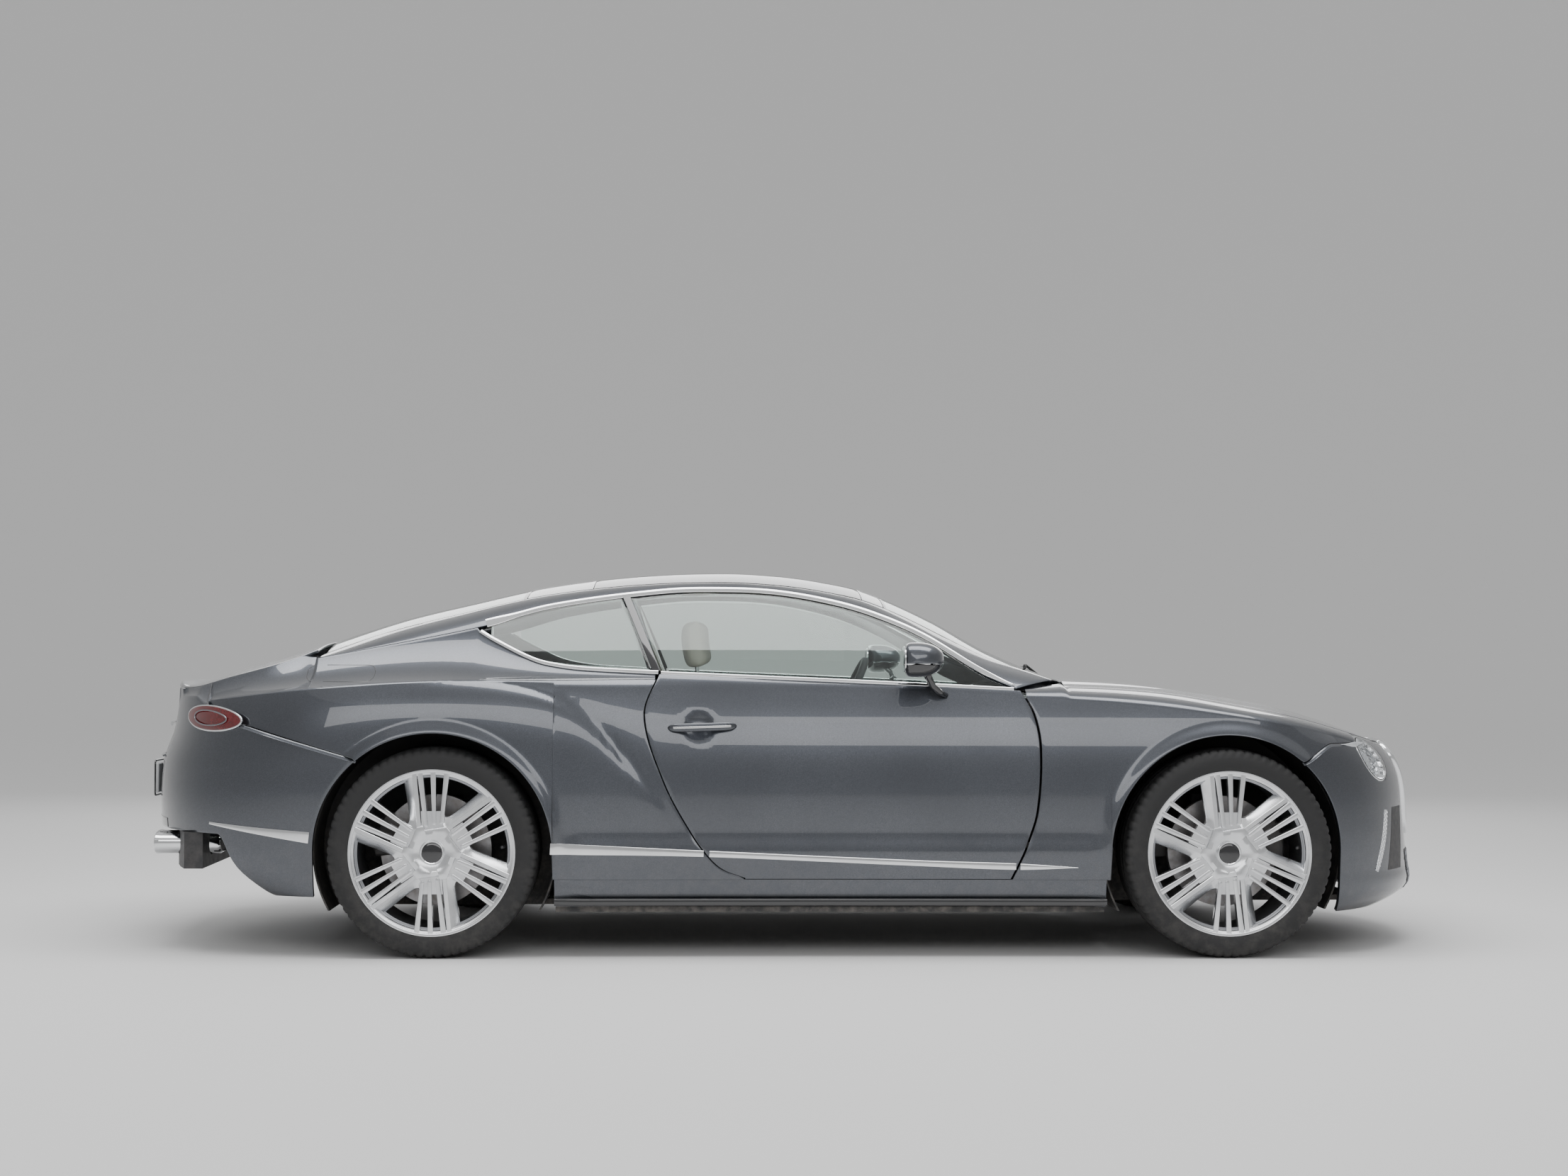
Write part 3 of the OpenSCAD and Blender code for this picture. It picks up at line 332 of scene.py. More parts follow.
def sweep(path, profile, lift, scale=None, closed=False):
    # A profile of (across, up) points carried along a path; lift is the way up at each point
    path = np.asarray(path, float)
    ahead = np.roll(path, -1, 0) - np.roll(path, 1, 0) if closed else np.gradient(path, axis=0)
    ahead = ahead / np.linalg.norm(ahead, axis=1, keepdims=True)
    across = np.cross(ahead, np.broadcast_to(np.asarray(lift, float), path.shape))
    across = across / np.linalg.norm(across, axis=1, keepdims=True)
    up = np.cross(across, ahead)
    profile = np.asarray(profile, float)
    profile = np.broadcast_to(profile, (len(path), *profile.shape)) if profile.ndim == 2 else profile
    if scale is not None:
        profile = profile * np.asarray(scale, float).reshape(len(path), 1, -1)
    return tube(path[:, None] + across[:, None] * profile[..., :1] + up[:, None] * profile[..., 1:], closed)


def rounded(width, height, corner, steps=3):
    # Outline of a rectangle with rounded corners round its own centre
    a = np.linspace(0, np.pi / 2, steps + 1)
    parts = []
    for k, (sx, sy) in enumerate(((1, 1), (-1, 1), (-1, -1), (1, -1))):
        parts.append(np.stack([sx * (width / 2 - corner) + corner * np.cos(a + k * np.pi / 2),
                               sy * (height / 2 - corner) + corner * np.sin(a + k * np.pi / 2)], 1))
    return np.concatenate(parts)


def oval(width, height, steps=24, power=1.0):
    # Outline of an ellipse; a power under 1 squares it
    a = np.linspace(0, 2 * np.pi, steps, endpoint=False)
    shape = lambda c: np.sign(c) * np.abs(c) ** power
    return np.stack([width / 2 * shape(np.cos(a)), height / 2 * shape(np.sin(a))], 1)


def spun(profile, x, z, steps=96, closed=False):
    # Rings of (radius, y) round an axle at x and z: closed when the outline runs back to its start
    p = np.asarray(profile, float)
    a = np.linspace(0, 2 * np.pi, steps, endpoint=False)
    rings = np.stack([x + p[:, :1] * np.cos(a), p[:, 1:] + 0 * a, z + p[:, :1] * np.sin(a)], -1)
    return tube(rings, closed)


def block(low, high, corner=3.0, axis=0):
    # A box with four rounded edges along one axis and small bevels at its ends
    low, high = np.asarray(low, float), np.asarray(high, float)
    size, middle = high - low, (low + high) / 2
    one, two = [k for k in range(3) if k != axis]
    bevel = min(corner, 0.4 * size.min())
    outline = rounded(size[one], size[two], bevel)
    rings = []
    for at, shrink in ((low[axis], bevel * 0.6), (low[axis] + bevel * 0.6, 0),
                       (high[axis] - bevel * 0.6, 0),
                       (high[axis], bevel * 0.6)):
        ring = np.zeros((len(outline), 3))
        ring[:, axis] = at
        ring[:, one] = middle[one] + outline[:, 0] * (1 - 2 * shrink / size[one])
        ring[:, two] = middle[two] + outline[:, 1] * (1 - 2 * shrink / size[two])
        rings.append(ring)
    return tube(rings)


def rod(start, end, radius, steps=16, endRadius=None):
    # A straight round bar between two points
    start, end = np.asarray(start, float), np.asarray(end, float)
    path = mix(start, end, np.linspace(0, 1, 4)[:, None])
    lift = (0, 0, 1) if abs((end - start)[2]) < 0.9 * np.linalg.norm(end - start) else (1, 0, 0)
    circle = oval(2, 2, steps)
    return sweep(path, circle, lift, np.linspace(radius, radius if endRadius is None else endRadius, 4))


def ball(centre, size, rings=14, steps=24):
    # An ellipsoid with half sizes along x, y and z
    t = np.linspace(0.04, np.pi - 0.04, rings)[:, None]
    a = np.linspace(0, 2 * np.pi, steps, endpoint=False)[None, :]
    unit = np.stack([np.sin(t) * np.cos(a), np.sin(t) * np.sin(a), np.cos(t) + 0 * a], -1)
    return tube(np.asarray(centre, float) + unit * np.asarray(size, float))


def columns(*values):
    # Puts values and arrays of one length side by side
    return np.stack(np.broadcast_arrays(*[np.asarray(v, float) for v in values]), -1)


# Materials
def newGroup(name, inputs, outputs):
    # A shader node group with its sockets; gives back the tree and its two ends
    tree = bpy.data.node_groups.new(name, "ShaderNodeTree")
    for label, kind, value in inputs:
        socket = tree.interface.new_socket(name=label, in_out="INPUT", socket_type="NodeSocket" + kind)
        socket.default_value = value
    for label, kind in outputs:
        tree.interface.new_socket(name=label, in_out="OUTPUT", socket_type="NodeSocket" + kind)
    return tree, tree.nodes.new("NodeGroupInput").outputs, tree.nodes.new("NodeGroupOutput").inputs


def put(tree, kind, links=(), **settings):
    # Adds one node; links is a dict of socket to a value or to another node's output
    node = tree.nodes.new("ShaderNode" + kind)
    for key, value in settings.items():
        setattr(node, key, value)
    for key, value in dict(links).items():
        if isinstance(value, bpy.types.NodeSocket):
            tree.links.new(value, node.inputs[key])
        else:
            node.inputs[key].default_value = value
    return node


def cloudGroup():
    # Soft clouds between two values, and the same clouds as a small height
    tree, given, out = newGroup("softClouds",
                                [("Scale", "Float", 3.0), ("Low", "Float", 0.3), ("High", "Float", 0.4)],
                                [("Value", "Float"), ("Fine", "Float")])
    place = put(tree, "TexCoord").outputs["Object"]
    noise = put(tree, "TexNoise",
                {"Vector": place, "Scale": given["Scale"], "Detail": 5.0, "Roughness": 0.6})
    fine = put(tree, "TexNoise", {"Vector": place, "Scale": 420.0, "Detail": 3.0})
    span = put(tree, "MapRange", {"Value": noise.outputs["Fac"], "From Min": 0.3, "From Max": 0.7,
                                  "To Min": given["Low"], "To Max": given["High"]})
    tree.links.new(span.outputs["Result"], out["Value"])
    tree.links.new(fine.outputs["Fac"], out["Fine"])
    return tree


def flakeGroup():
    # Metal flakes under lacquer: tiny cells, each with a brightness and a tilt of its own
    tree, given, out = newGroup("paintFlakes",
                                [("Dark", "Color", (0, 0, 0, 1)), ("Light", "Color", (1, 1, 1, 1)),
                                 ("Scale", "Float", 900.0)],
                                [("Color", "Color"), ("Height", "Float")])
    place = put(tree, "TexCoord").outputs["Object"]
    cell = put(tree, "TexVoronoi", {"Vector": place, "Scale": given["Scale"]})
    cloud = put(tree, "TexNoise", {"Vector": place, "Scale": 2.2, "Detail": 2.0})
    bright = put(tree, "SeparateColor", {"Color": cell.outputs["Color"]})
    power = put(tree, "Math", {0: bright.outputs[0], 1: 3.0}, operation="POWER")
    mixed = put(tree, "Math", {0: power.outputs[0], 1: 0.75}, operation="MULTIPLY")
    total = put(tree, "Math", {0: mixed.outputs[0], 1: cloud.outputs["Fac"]}, operation="MULTIPLY")
    blend = tree.nodes.new("ShaderNodeMixRGB")
    tree.links.new(total.outputs[0], blend.inputs[0])
    tree.links.new(given["Dark"], blend.inputs[1])
    tree.links.new(given["Light"], blend.inputs[2])
    tree.links.new(blend.outputs[0], out["Color"])
    tree.links.new(bright.outputs[1], out["Height"])
    return tree


def hideGroup():
    # Leather: rounded cells of two sizes with creases between them, and a slow change of tone
    tree, given, out = newGroup("leatherGrain", [("Scale", "Float", 300.0)],
                                [("Height", "Float"), ("Tone", "Float")])
    place = put(tree, "TexCoord").outputs["Object"]
    cell = put(tree, "TexVoronoi", {"Vector": place, "Scale": given["Scale"]}, feature="DISTANCE_TO_EDGE")
    small = put(tree, "TexNoise", {"Vector": place, "Scale": 700.0, "Detail": 2.0})
    lift = put(tree, "MapRange", {"Value": cell.outputs["Distance"], "From Max": 0.25})
    height = put(tree, "Math", {0: small.outputs["Fac"], 1: 0.3, 2: lift.outputs["Result"]},
                 operation="MULTIPLY_ADD")
    tone = put(tree, "TexNoise", {"Vector": place, "Scale": 7.0, "Detail": 4.0})
    tree.links.new(height.outputs[0], out["Height"])
    tree.links.new(tone.outputs["Fac"], out["Tone"])
    return tree


def dustGroup():
    # Road dust: none above knee height, thin and patchy below it
    tree, given, out = newGroup("roadDust", [("Amount", "Float", 0.25)], [("Mask", "Float")])
    place = put(tree, "TexCoord").outputs["Object"]
    parts = put(tree, "SeparateXYZ", {"Vector": place})
    low = put(tree, "MapRange", {"Value": parts.outputs["Z"], "From Min": 0.60, "From Max": 0.12})
    noise = put(tree, "TexNoise", {"Vector": place, "Scale": 24.0, "Detail": 6.0, "Roughness": 0.7})
    spots = put(tree, "MapRange", {"Value": noise.outputs["Fac"], "From Min": 0.42, "From Max": 0.75})
    both = put(tree, "Math", {0: low.outputs["Result"], 1: spots.outputs["Result"]}, operation="MULTIPLY")
    scaled = put(tree, "Math", {0: both.outputs[0], 1: given["Amount"]}, operation="MULTIPLY")
    tree.links.new(scaled.outputs[0], out["Mask"])
    return tree


groups = {"clouds": cloudGroup(), "flakes": flakeGroup(), "grain": hideGroup(), "dust": dustGroup()}

finish = {
    # slot in the record, base colour, second colour, roughness from-to, and the shader's own constants
    "carPaint": {"slot": "paint", "colour": (0.050, 0.055, 0.066), "second": (0.22, 0.24, 0.28),
                 "rough": (0.30, 0.34), "Metallic": 0.86,
                 "Coat Weight": 1.0, "Coat Roughness": 0.02, "Coat IOR": 1.6, "flakes": 1500.0,
                 "dust": 0.10},
    "chromeTrim": {"slot": "chrome", "colour": (0.86, 0.87, 0.88), "rough": (0.05, 0.09), "Metallic": 1.0,
                   "clouds": 6.0},
    "darkChrome": {"slot": "chrome", "colour": (0.30, 0.31, 0.33), "rough": (0.10, 0.18), "Metallic": 1.0,
                   "clouds": 9.0},
    "rimSilver": {"slot": "alloy", "colour": (0.80, 0.81, 0.82), "second": (0.62, 0.63, 0.65),
                  "rough": (0.17, 0.26), "Metallic": 0.92,
                  "Coat Weight": 0.6, "Coat Roughness": 0.06, "clouds": 14.0, "dust": 0.05},
    "rimShadow": {"slot": "alloy", "colour": (0.34, 0.35, 0.37), "rough": (0.3, 0.42), "Metallic": 0.8,
                  "clouds": 14.0, "dust": 0.2},
    "discIron": {"slot": "cast", "colour": (0.36, 0.36, 0.37), "second": (0.24, 0.22, 0.21),
                 "rough": (0.28, 0.42), "Metallic": 1.0,
                 "clouds": 30.0},
    "castMetal": {"slot": "cast", "colour": (0.10, 0.10, 0.105), "second": (0.15, 0.14, 0.13),
                  "rough": (0.5, 0.7), "Metallic": 0.6,
                  "clouds": 18.0, "bump": 0.35},
    "glossBlack": {"slot": "black_plastic", "colour": (0.012, 0.012, 0.014), "rough": (0.06, 0.12),
                   "Coat Weight": 1.0, "Coat Roughness": 0.02,
                   "clouds": 5.0},
    "moulded": {"slot": "black_plastic", "colour": (0.022, 0.022, 0.024), "second": (0.035, 0.035, 0.037),
                "rough": (0.42, 0.58), "clouds": 40.0,
                "bump": 0.5, "dust": 0.25},
    "tyreRubber": {"slot": "tyre", "colour": (0.011, 0.011, 0.012), "second": (0.020, 0.020, 0.020),
                   "rough": (0.62, 0.80),
                   "clouds": 30.0, "bump": 0.35, "dust": 0.10},
    "underBody": {"slot": "black_plastic", "colour": (0.022, 0.022, 0.024), "second": (0.05, 0.048, 0.045),
                  "rough": (0.6, 0.85), "clouds": 12.0,
                  "bump": 0.8, "dust": 0.5},
    "creamLeather": {"slot": "leather", "colour": (0.74, 0.69, 0.60), "second": (0.66, 0.60, 0.51),
                     "rough": (0.42, 0.55), "leather": 330.0,
                     "Sheen Weight": 0.12},
    "darkLeather": {"slot": "leather", "colour": (0.040, 0.040, 0.046), "second": (0.06, 0.06, 0.066),
                    "rough": (0.42, 0.58),
                    "leather": 330.0},
    "carpet": {"slot": "leather", "colour": (0.10, 0.10, 0.11), "second": (0.055, 0.055, 0.06),
               "rough": (0.9, 1.0), "clouds": 300.0,
               "bump": 1.0, "Sheen Weight": 0.5},
    "walnut": {"slot": "leather", "colour": (0.16, 0.075, 0.035), "second": (0.05, 0.022, 0.012),
               "rough": (0.12, 0.2), "clouds": 9.0,
               "Coat Weight": 1.0, "Coat Roughness": 0.03},
    "redLens": {"slot": "red_lens", "colour": (0.15, 0.003, 0.005), "second": (0.07, 0.002, 0.003),
                "rough": (0.05, 0.12),
                "Coat Weight": 1.0, "clouds": 70.0},
    "pearlLens": {"slot": "lamp", "colour": (0.80, 0.82, 0.84), "second": (0.55, 0.58, 0.61),
                  "rough": (0.10, 0.2), "clouds": 80.0,
                  "Coat Weight": 1.0, "Metallic": 0.35},
    "plateWhite": {"slot": "lamp", "colour": (0.72, 0.73, 0.74), "second": (0.66, 0.67, 0.68),
                   "rough": (0.35, 0.5), "clouds": 20.0},
}
glassKinds = {
    "cabinGlass": {"slot": "glass", "colour": (0.80, 0.88, 0.85), "rough": (0.0, 0.02)},
    "roofGlass": {"slot": "dark_glass", "colour": (0.10, 0.11, 0.12), "rough": (0.0, 0.02)},
    "lampGlass": {"slot": "lamp", "colour": (0.96, 0.97, 0.98), "rough": (0.0, 0.03)},
}
made = {}


def makeMaterial(name, spec, glass=False):
    # One Principled material from a finish: clouds drive the roughness, then tint, grain or flakes,
    # and dust drive the colour
    material = bpy.data.materials.new(name)
    material.use_nodes = True
    tree = material.node_tree
    shader = tree.nodes["Principled BSDF"]
    for key in spec:
        if key in shader.inputs:
            shader.inputs[key].default_value = spec[key]
    colour = (*spec["colour"], 1)
    second = (*spec.get("second", tuple(0.86 * c for c in spec["colour"])), 1)
    clouds = tree.nodes.new("ShaderNodeGroup")
    clouds.node_tree = groups["clouds"]
    for key, value in (("Scale", spec.get("clouds", 4.0)), ("Low", spec["rough"][0]),
                       ("High", spec["rough"][1])):
        clouds.inputs[key].default_value = value
    tree.links.new(clouds.outputs["Value"], shader.inputs["Roughness"])
    if glass:
        shader.inputs["Transmission Weight"].default_value = 1.0
        shader.inputs["IOR"].default_value = 1.45
        shader.inputs["Base Color"].default_value = colour
        return material
    height, distance = None, 0.0
    if "flakes" in spec:
        extra = tree.nodes.new("ShaderNodeGroup")
        extra.node_tree = groups["flakes"]
        extra.inputs["Dark"].default_value, extra.inputs["Light"].default_value = colour, second
        extra.inputs["Scale"].default_value = spec["flakes"]
        base, height, distance = extra.outputs["Color"], extra.outputs["Height"], 0.00002
    else:
        tint = tree.nodes.new("ShaderNodeMixRGB")
        tint.inputs[1].default_value, tint.inputs[2].default_value = colour, second
        if "leather" in spec:
            extra = tree.nodes.new("ShaderNodeGroup")
            extra.node_tree = groups["grain"]
            extra.inputs["Scale"].default_value = spec["leather"]
            tree.links.new(extra.outputs["Tone"], tint.inputs[0])
            height, distance = extra.outputs["Height"], 0.0006
        else:
            span = put(tree, "MapRange", {"Value": clouds.outputs["Value"], "From Min": spec["rough"][0],
                                          "From Max": spec["rough"][1]})
            tree.links.new(span.outputs["Result"], tint.inputs[0])
            if "bump" in spec:
                height, distance = clouds.outputs["Fine"], 0.0006 * spec["bump"]
        base = tint.outputs[0]
    if "dust" in spec:
        dust = tree.nodes.new("ShaderNodeGroup")
        dust.node_tree = groups["dust"]
        dust.inputs["Amount"].default_value = spec["dust"]
        over = tree.nodes.new("ShaderNodeMixRGB")
        tree.links.new(dust.outputs["Mask"], over.inputs[0])
        tree.links.new(base, over.inputs[1])
        over.inputs[2].default_value = (0.30, 0.27, 0.24, 1)
        base = over.outputs[0]
    tree.links.new(base, shader.inputs["Base Color"])
    if height is not None:
        bump = put(tree, "Bump", {"Height": height, "Distance": distance, "Strength": 0.6})
        tree.links.new(bump.outputs["Normal"], shader.inputs["Normal"])
    return material


for key, spec in finish.items():
    made[key] = makeMaterial(key, spec)
for key, spec in glassKinds.items():
    made[key] = makeMaterial(key, spec, glass=True)
print("materials made:", len(made))


# Outer panels: each is a grid of points over the body's surface
panel = {"wingLowRows": 34, "wingCrownRows": 20, "quarterLowRows": 42, "quarterCrownRows": 26,
         "doorRows": 56, "doorColumns": 88, "wingGap": 6.5, "skin": 3.0, "joinGap": 2.2,
         "quarterThick": 6.0, "pillarThick": 20.0, "lidThick": 12.0, "sheetThick": 14.0, "doorThick": 40.0,
         "glassThick": 5.0}


def archZ(x, wheelX):
    # Height of the wheel arch's lip: a half circle round the hub
    return body["hubHeight"] + np.sqrt(np.maximum(0, body["archRadius"] ** 2 - (x - wheelX) ** 2))


def bumperTop(x):
    # Line between the front bumper and the wing
    return mix(700, 766, ease((x - 1811) / 140))


def rearJoin(x):
    # Line between the rear bumper and the quarter
    return mix(706, 840, (-1577 - x) / 464) + 26 * ease((-2040 - x) / 100)


def columnSet(near, arch, far):
    # Columns in three runs: to the arch, round it, and on to the bumper
    kind = np.concatenate([np.zeros(len(near)), np.ones(len(arch)), np.full(len(far), 2)])
    return kind, np.concatenate([near, arch, far])


def wingGrid():
    # Rows rise from the lower edge to the shoulder, then a Bezier runs over to the bonnet's edge
    axle, r = body["frontAxle"], body["archRadius"]
    angles = np.radians(np.linspace(179, 52, 84))
    kind, value = columnSet(np.linspace(0, 0.996, 22), axle + r * np.cos(angles),
                            np.linspace(1822, 2060, 34))
    doorEdge = lambda z: curve("doorFront", z) + panel["wingGap"]
    atX = lambda z: np.where(kind == 0, mix(doorEdge(z), axle - r, value), value)
    x1 = atX(np.full(len(value), 800.0))
    shoulder = curve("shoulder", x1)
    low = np.where(kind == 0, body["sillTop"],
                   np.where(kind == 1, archZ(value, axle), bumperTop(value) + panel["joinGap"]))
    v = np.linspace(0, 1, panel["wingLowRows"])[:, None]
    z = mix(low, shoulder, v)
    x = atX(z)
    lower = np.stack([x, side(x, z), z], -1)
    xs = atX(shoulder)
    half = np.where(xs < 985, mix(cabin(800, 960) + 2, 720, (xs - 800) / 185),
                    curve("bonnetHalf", xs) + 3.5)
    top = np.where(xs < 985, mix(958, 982, (xs - 800) / 185), bonnetZ(xs, half))
    w = np.linspace(0, 1, panel["wingCrownRows"] + 1)[1:, None]
    a0, a1 = side(xs, shoulder), shoulder
    y = quad(a0, a0 - 10, half, w)
    zc = quad(a1, mix(a1, top, 0.86), top, w)
    upper = np.stack([np.broadcast_to(xs, y.shape), y, zc], -1)
    return np.concatenate([lower, upper])


def quarterTop(x):
    # Where the quarter ends above: the belt line, the pillar's foot or the boot lid's edge
    zBelt, zCant = curve("belt", x) - 2, curve("cant", x) - 1
    yBoot = curve("bootHalf", x) + 4
    zBoot = deckZ(x, yBoot) - mix(24, 0, ease((-1757 - x) / 60))
    y = np.where(x > -1164, cabin(x, zBelt), np.where(x > -1757, cabin(x, zCant), yBoot))
    return y, np.where(x > -1164, zBelt, np.where(x > -1757, zCant, zBoot))


def quarterGrid():
    # As the wing: rows rise to the crease, then a Bezier runs up to the window, pillar or boot lid
    axle, r = body["rearAxle"], body["archRadius"]
    angles = np.radians(np.linspace(1, 130.0, 88))
    kind, value = columnSet(np.linspace(0, 0.996, 34), axle + r * np.cos(angles),
                            np.linspace(-1584, -2140, 64))
    atX = lambda z: np.where(kind == 0, mix(curve("doorRear", z) - 2.2, axle + r, value), value)
    x1 = atX(np.full(len(value), 985.0))
    crease = curve("crease", x1)
    low = np.where(kind == 0, body["sillTop"],
                   np.where(kind == 1, archZ(value, axle), rearJoin(value) + panel["joinGap"]))
    v0 = np.linspace(0, 1, panel["quarterLowRows"])[:, None]
    z = mix(low, crease, np.where(kind == 0, mix(v0 * v0, v0, 0.3), v0))
    x = atX(z)
    lower = np.stack([x, side(x, z), z], -1)
    w = np.linspace(0, 1, panel["quarterCrownRows"] + 1)[1:, None]
    a0, a1 = side(x1, crease), crease
    e0, e1 = quarterTop(x1)
    y = quad(a0, mix(a0, e0, 0.72), e0, w)
    zc = quad(a1, mix(a1, e1, 0.3), e1, w)
    return np.concatenate([lower, np.stack([np.broadcast_to(x1, y.shape), y, zc], -1)])


def doorGrid():
    # The flank between the two shut lines, from the sill to the belt, with a hollow behind the handle
    u = np.linspace(0, 1, panel["doorColumns"])[None, :]
    v = np.linspace(0, 1, panel["doorRows"])[:, None]
    z = mix(body["sillTop"] + 3, curve("belt", mix(-498, 800, u)) - 6, mix(v * v, v, 0.3))
    x = mix(curve("doorRear", z) + 2.2, curve("doorFront", z) - 1.2, u)
    cup = 15 * ease(1.25 - ((x + 356) / 58) ** 2 - ((z - 823) / 50) ** 2)
    return np.stack([x, side(x, z) - cup, z], -1)


def pillarGrid(across=14, along=116):
    # The cant rail from the screen's foot to the boot: a Bezier from the window's edge to the roof's edge
    t = np.linspace(0, 1, along)[None, :]
    w = np.linspace(0, 1, across)[:, None]
    x0 = mix(795, -1740, t)
    z0 = curve("cant", x0)
    a = np.stack([x0, cabin(x0, z0), z0], -1)
    xb = x0 + 150 * ease((x0 - 200) / 595)
    yb = curve("topEdge", xb)
    b = np.stack([xb, yb, roofZ(xb, yb)], -1)
    k = np.stack([mix(a[..., 0], b[..., 0], 0.5), mix(a[..., 1], b[..., 1], 0.32),
                  mix(a[..., 2], b[..., 2], 0.72)], -1)
    return quad(a, k, b, w[..., None])


def topGrid(x0, x1, rows, columns, drop=0.0, trim=1.5):
    # The top surface between two stations, as wide as the cant rails leave it
    v = np.linspace(0, 1, rows)[:, None]
    u = np.linspace(-1, 1, columns)[None, :]
    xe = mix(x0, x1, v)
    y = (curve("topEdge", xe) - trim) * u
    x = np.where(xe > 500, xe + 62 * ease((xe - 330) / 600) * (1 - (y / 700) ** 2), xe)
    return np.stack([x, y, roofZ(x, y) - drop], -1)


def bonnetGrid(rows=64, columns=88):
    # Between the screen's curved foot and the grille, as wide as the bonnet's edge line
    v = np.linspace(0, 1, rows)[:, None]
    w = np.linspace(-1, 1, columns)[None, :]
    half = curve("bonnetHalf", mix(990, 2190, v))
    y = half * w
    x = mix(990 + 42 * (1 - w * w), 2268 - 105 * (np.abs(y) / 600) ** 2, v)
    return np.stack([x, y, bonnetZ(x, y)], -1)


def tailX(y, z):
    # The tail's surface straight behind a point: a superellipse across the width
    b = side(np.full_like(y, body["tailStart"]), np.minimum(z, 900))
    n = curve("tail", z)
    return body["tailStart"] + (n - body["tailStart"]) * np.maximum(0, 1 - np.minimum(np.abs(y) / b,
                                                                                      1) ** 2.2) ** (1 / 3)


def bootGrid(deckRows=48, tailRows=36, columns=80):
    # Over the deck, round a small spoiler lip, and down between the lamps
    w = np.linspace(-1, 1, columns)[None, :]
    edge = tailX(w * 560, np.full_like(w, 950.0)) + 8
    v = np.linspace(0, 1, deckRows)[:, None]
    x0 = mix(body["bootFront"], body["bootRear"], v)
    half = curve("bootHalf", x0) - np.where(v > 0.85, 60 * (v - 0.85) / 0.15, 10 * ease((0.1 - v) / 0.1))
    y = half * w
    x = mix(body["bootFront"], edge, v)
    deck = np.stack([x, y, deckZ(x, y) + 9 * ease((v - 0.80) / 0.2) * (1 - np.abs(w) ** 4)], -1)
    t = np.linspace(0, 1, tailRows)[1:, None]
    z0 = deckZ(edge, w * 500) + 9 * (1 - np.abs(w) ** 4)
    z = mix(z0, 708, t)
    yt = w * mix(500, 430, t)
    xt = tailX(yt, z) + 3 + 14 * ease(t / 0.14) * ease((0.9 - t) / 0.6)
    tail = np.stack([xt, yt, z], -1)
    return np.concatenate([deck, tail])


def noseEnds(z, axle, sign):
    # Station where a bumper stops at the wheel arch, following the arch's circle above the hub
    rise = np.sqrt(np.maximum(0, body["archRadius"] ** 2 - (z - body["hubHeight"]) ** 2))
    return np.where(z > body["hubHeight"], axle + sign * rise,
                    axle + sign * body["archRadius"]) + sign * 0.6


def endHalf(z, start, axle):
    # Half width where a bumper's curve starts, without the wheel arch's lip
    return side(np.full_like(z, start), z) - archSwell(start, z, axle) * ease((z - 200) / 120)


def nosePoint(u, z, depth=0.0):
    # Plan of the front bumper: a rounded arc from wheel arch to wheel arch, its reach set by the nose line
    start, n = body["noseStart"], curve("nose", z)
    turn = np.arccos(np.clip(((noseEnds(z, body["frontAxle"], 1) - start) / (n - start)) ** 1.25, 0, 1))
    a = turn * u
    half = endHalf(z, start, body["frontAxle"])
    x = start + (n - start - depth) * np.maximum(np.cos(a), 0) ** 0.8
    return np.stack([x, np.sign(u) * (half - depth) * np.abs(np.sin(a)), z + 0 * u], -1)


def tailPoint(u, z, depth=0.0):
    # Plan of the rear bumper, as for the front one but squarer
    start, n = body["tailStart"], curve("tail", z)
    reach = np.maximum(0, start - noseEnds(z, body["rearAxle"], -1)) / (start - n)
    turn = np.arccos(np.clip(reach ** 1.5, 0, 1))
    a = turn * u
    half = endHalf(z, start, body["rearAxle"])
    x = start + (n - start + depth) * np.maximum(np.cos(a), 0) ** (2 / 3)
    return np.stack([x, np.sign(u) * (half - depth) * np.abs(np.sin(a)) ** (2 / 2.2), z + 0 * u], -1)


def foldOver(top, yTo, zTo, share, rows=9):
    # Rows that carry a panel's upper edge on to its neighbour; where the share is 0 they make a narrow lip
    w = np.linspace(0, 1, rows + 1)[1:, None]
    x, y, z = top[:, 0], np.abs(top[:, 1]), top[:, 2]
    yEnd, zEnd = mix(y - 2.5, yTo, share), mix(z - 1.0, zTo, share)
    yy = quad(y, mix(y, yEnd, 0.66), yEnd, w) * np.where(top[:, 1] < 0, -1, 1)
    zz = quad(z, mix(z, zEnd, 0.36), zEnd, w)
    return np.stack([np.broadcast_to(x, yy.shape), yy, zz], -1)


def frontTop(u):
    # The bumper's upper edge: under the wing at the sides, up to the bonnet between, low behind the grille
    z = np.full_like(u, 740.0)
    for _ in range(12):
        p = nosePoint(u, z)
        x, y = p[..., 0], np.abs(p[..., 1])
        high = np.minimum(mix(766, 784, ease((x - 2062) / 60)), bonnetZ(np.minimum(x, 2262), y) - 1.5)
        z = mix(z, np.where(x < 2062, bumperTop(x), mix(722, high, ease((y - 415) / 22))), 0.6)
    return z


def frontBumperGrid(rows=52, columns=260):
    u = np.linspace(-1, 1, columns)[None, :]
    v = np.linspace(0, 1, rows)[:, None]
    z = mix(152.0, frontTop(u), v)
    grid = nosePoint(np.broadcast_to(u, z.shape), z)
    top = grid[-1]
    yTo = curve("bonnetHalf", np.minimum(top[:, 0], 2190)) + 4
    share = ease((top[:, 0] - 2060) / 6) * ease((np.abs(top[:, 1]) - yTo - 2) / 8)
    return np.concatenate([grid, foldOver(top, yTo, bonnetZ(top[:, 0], yTo) - 0.5, share)])


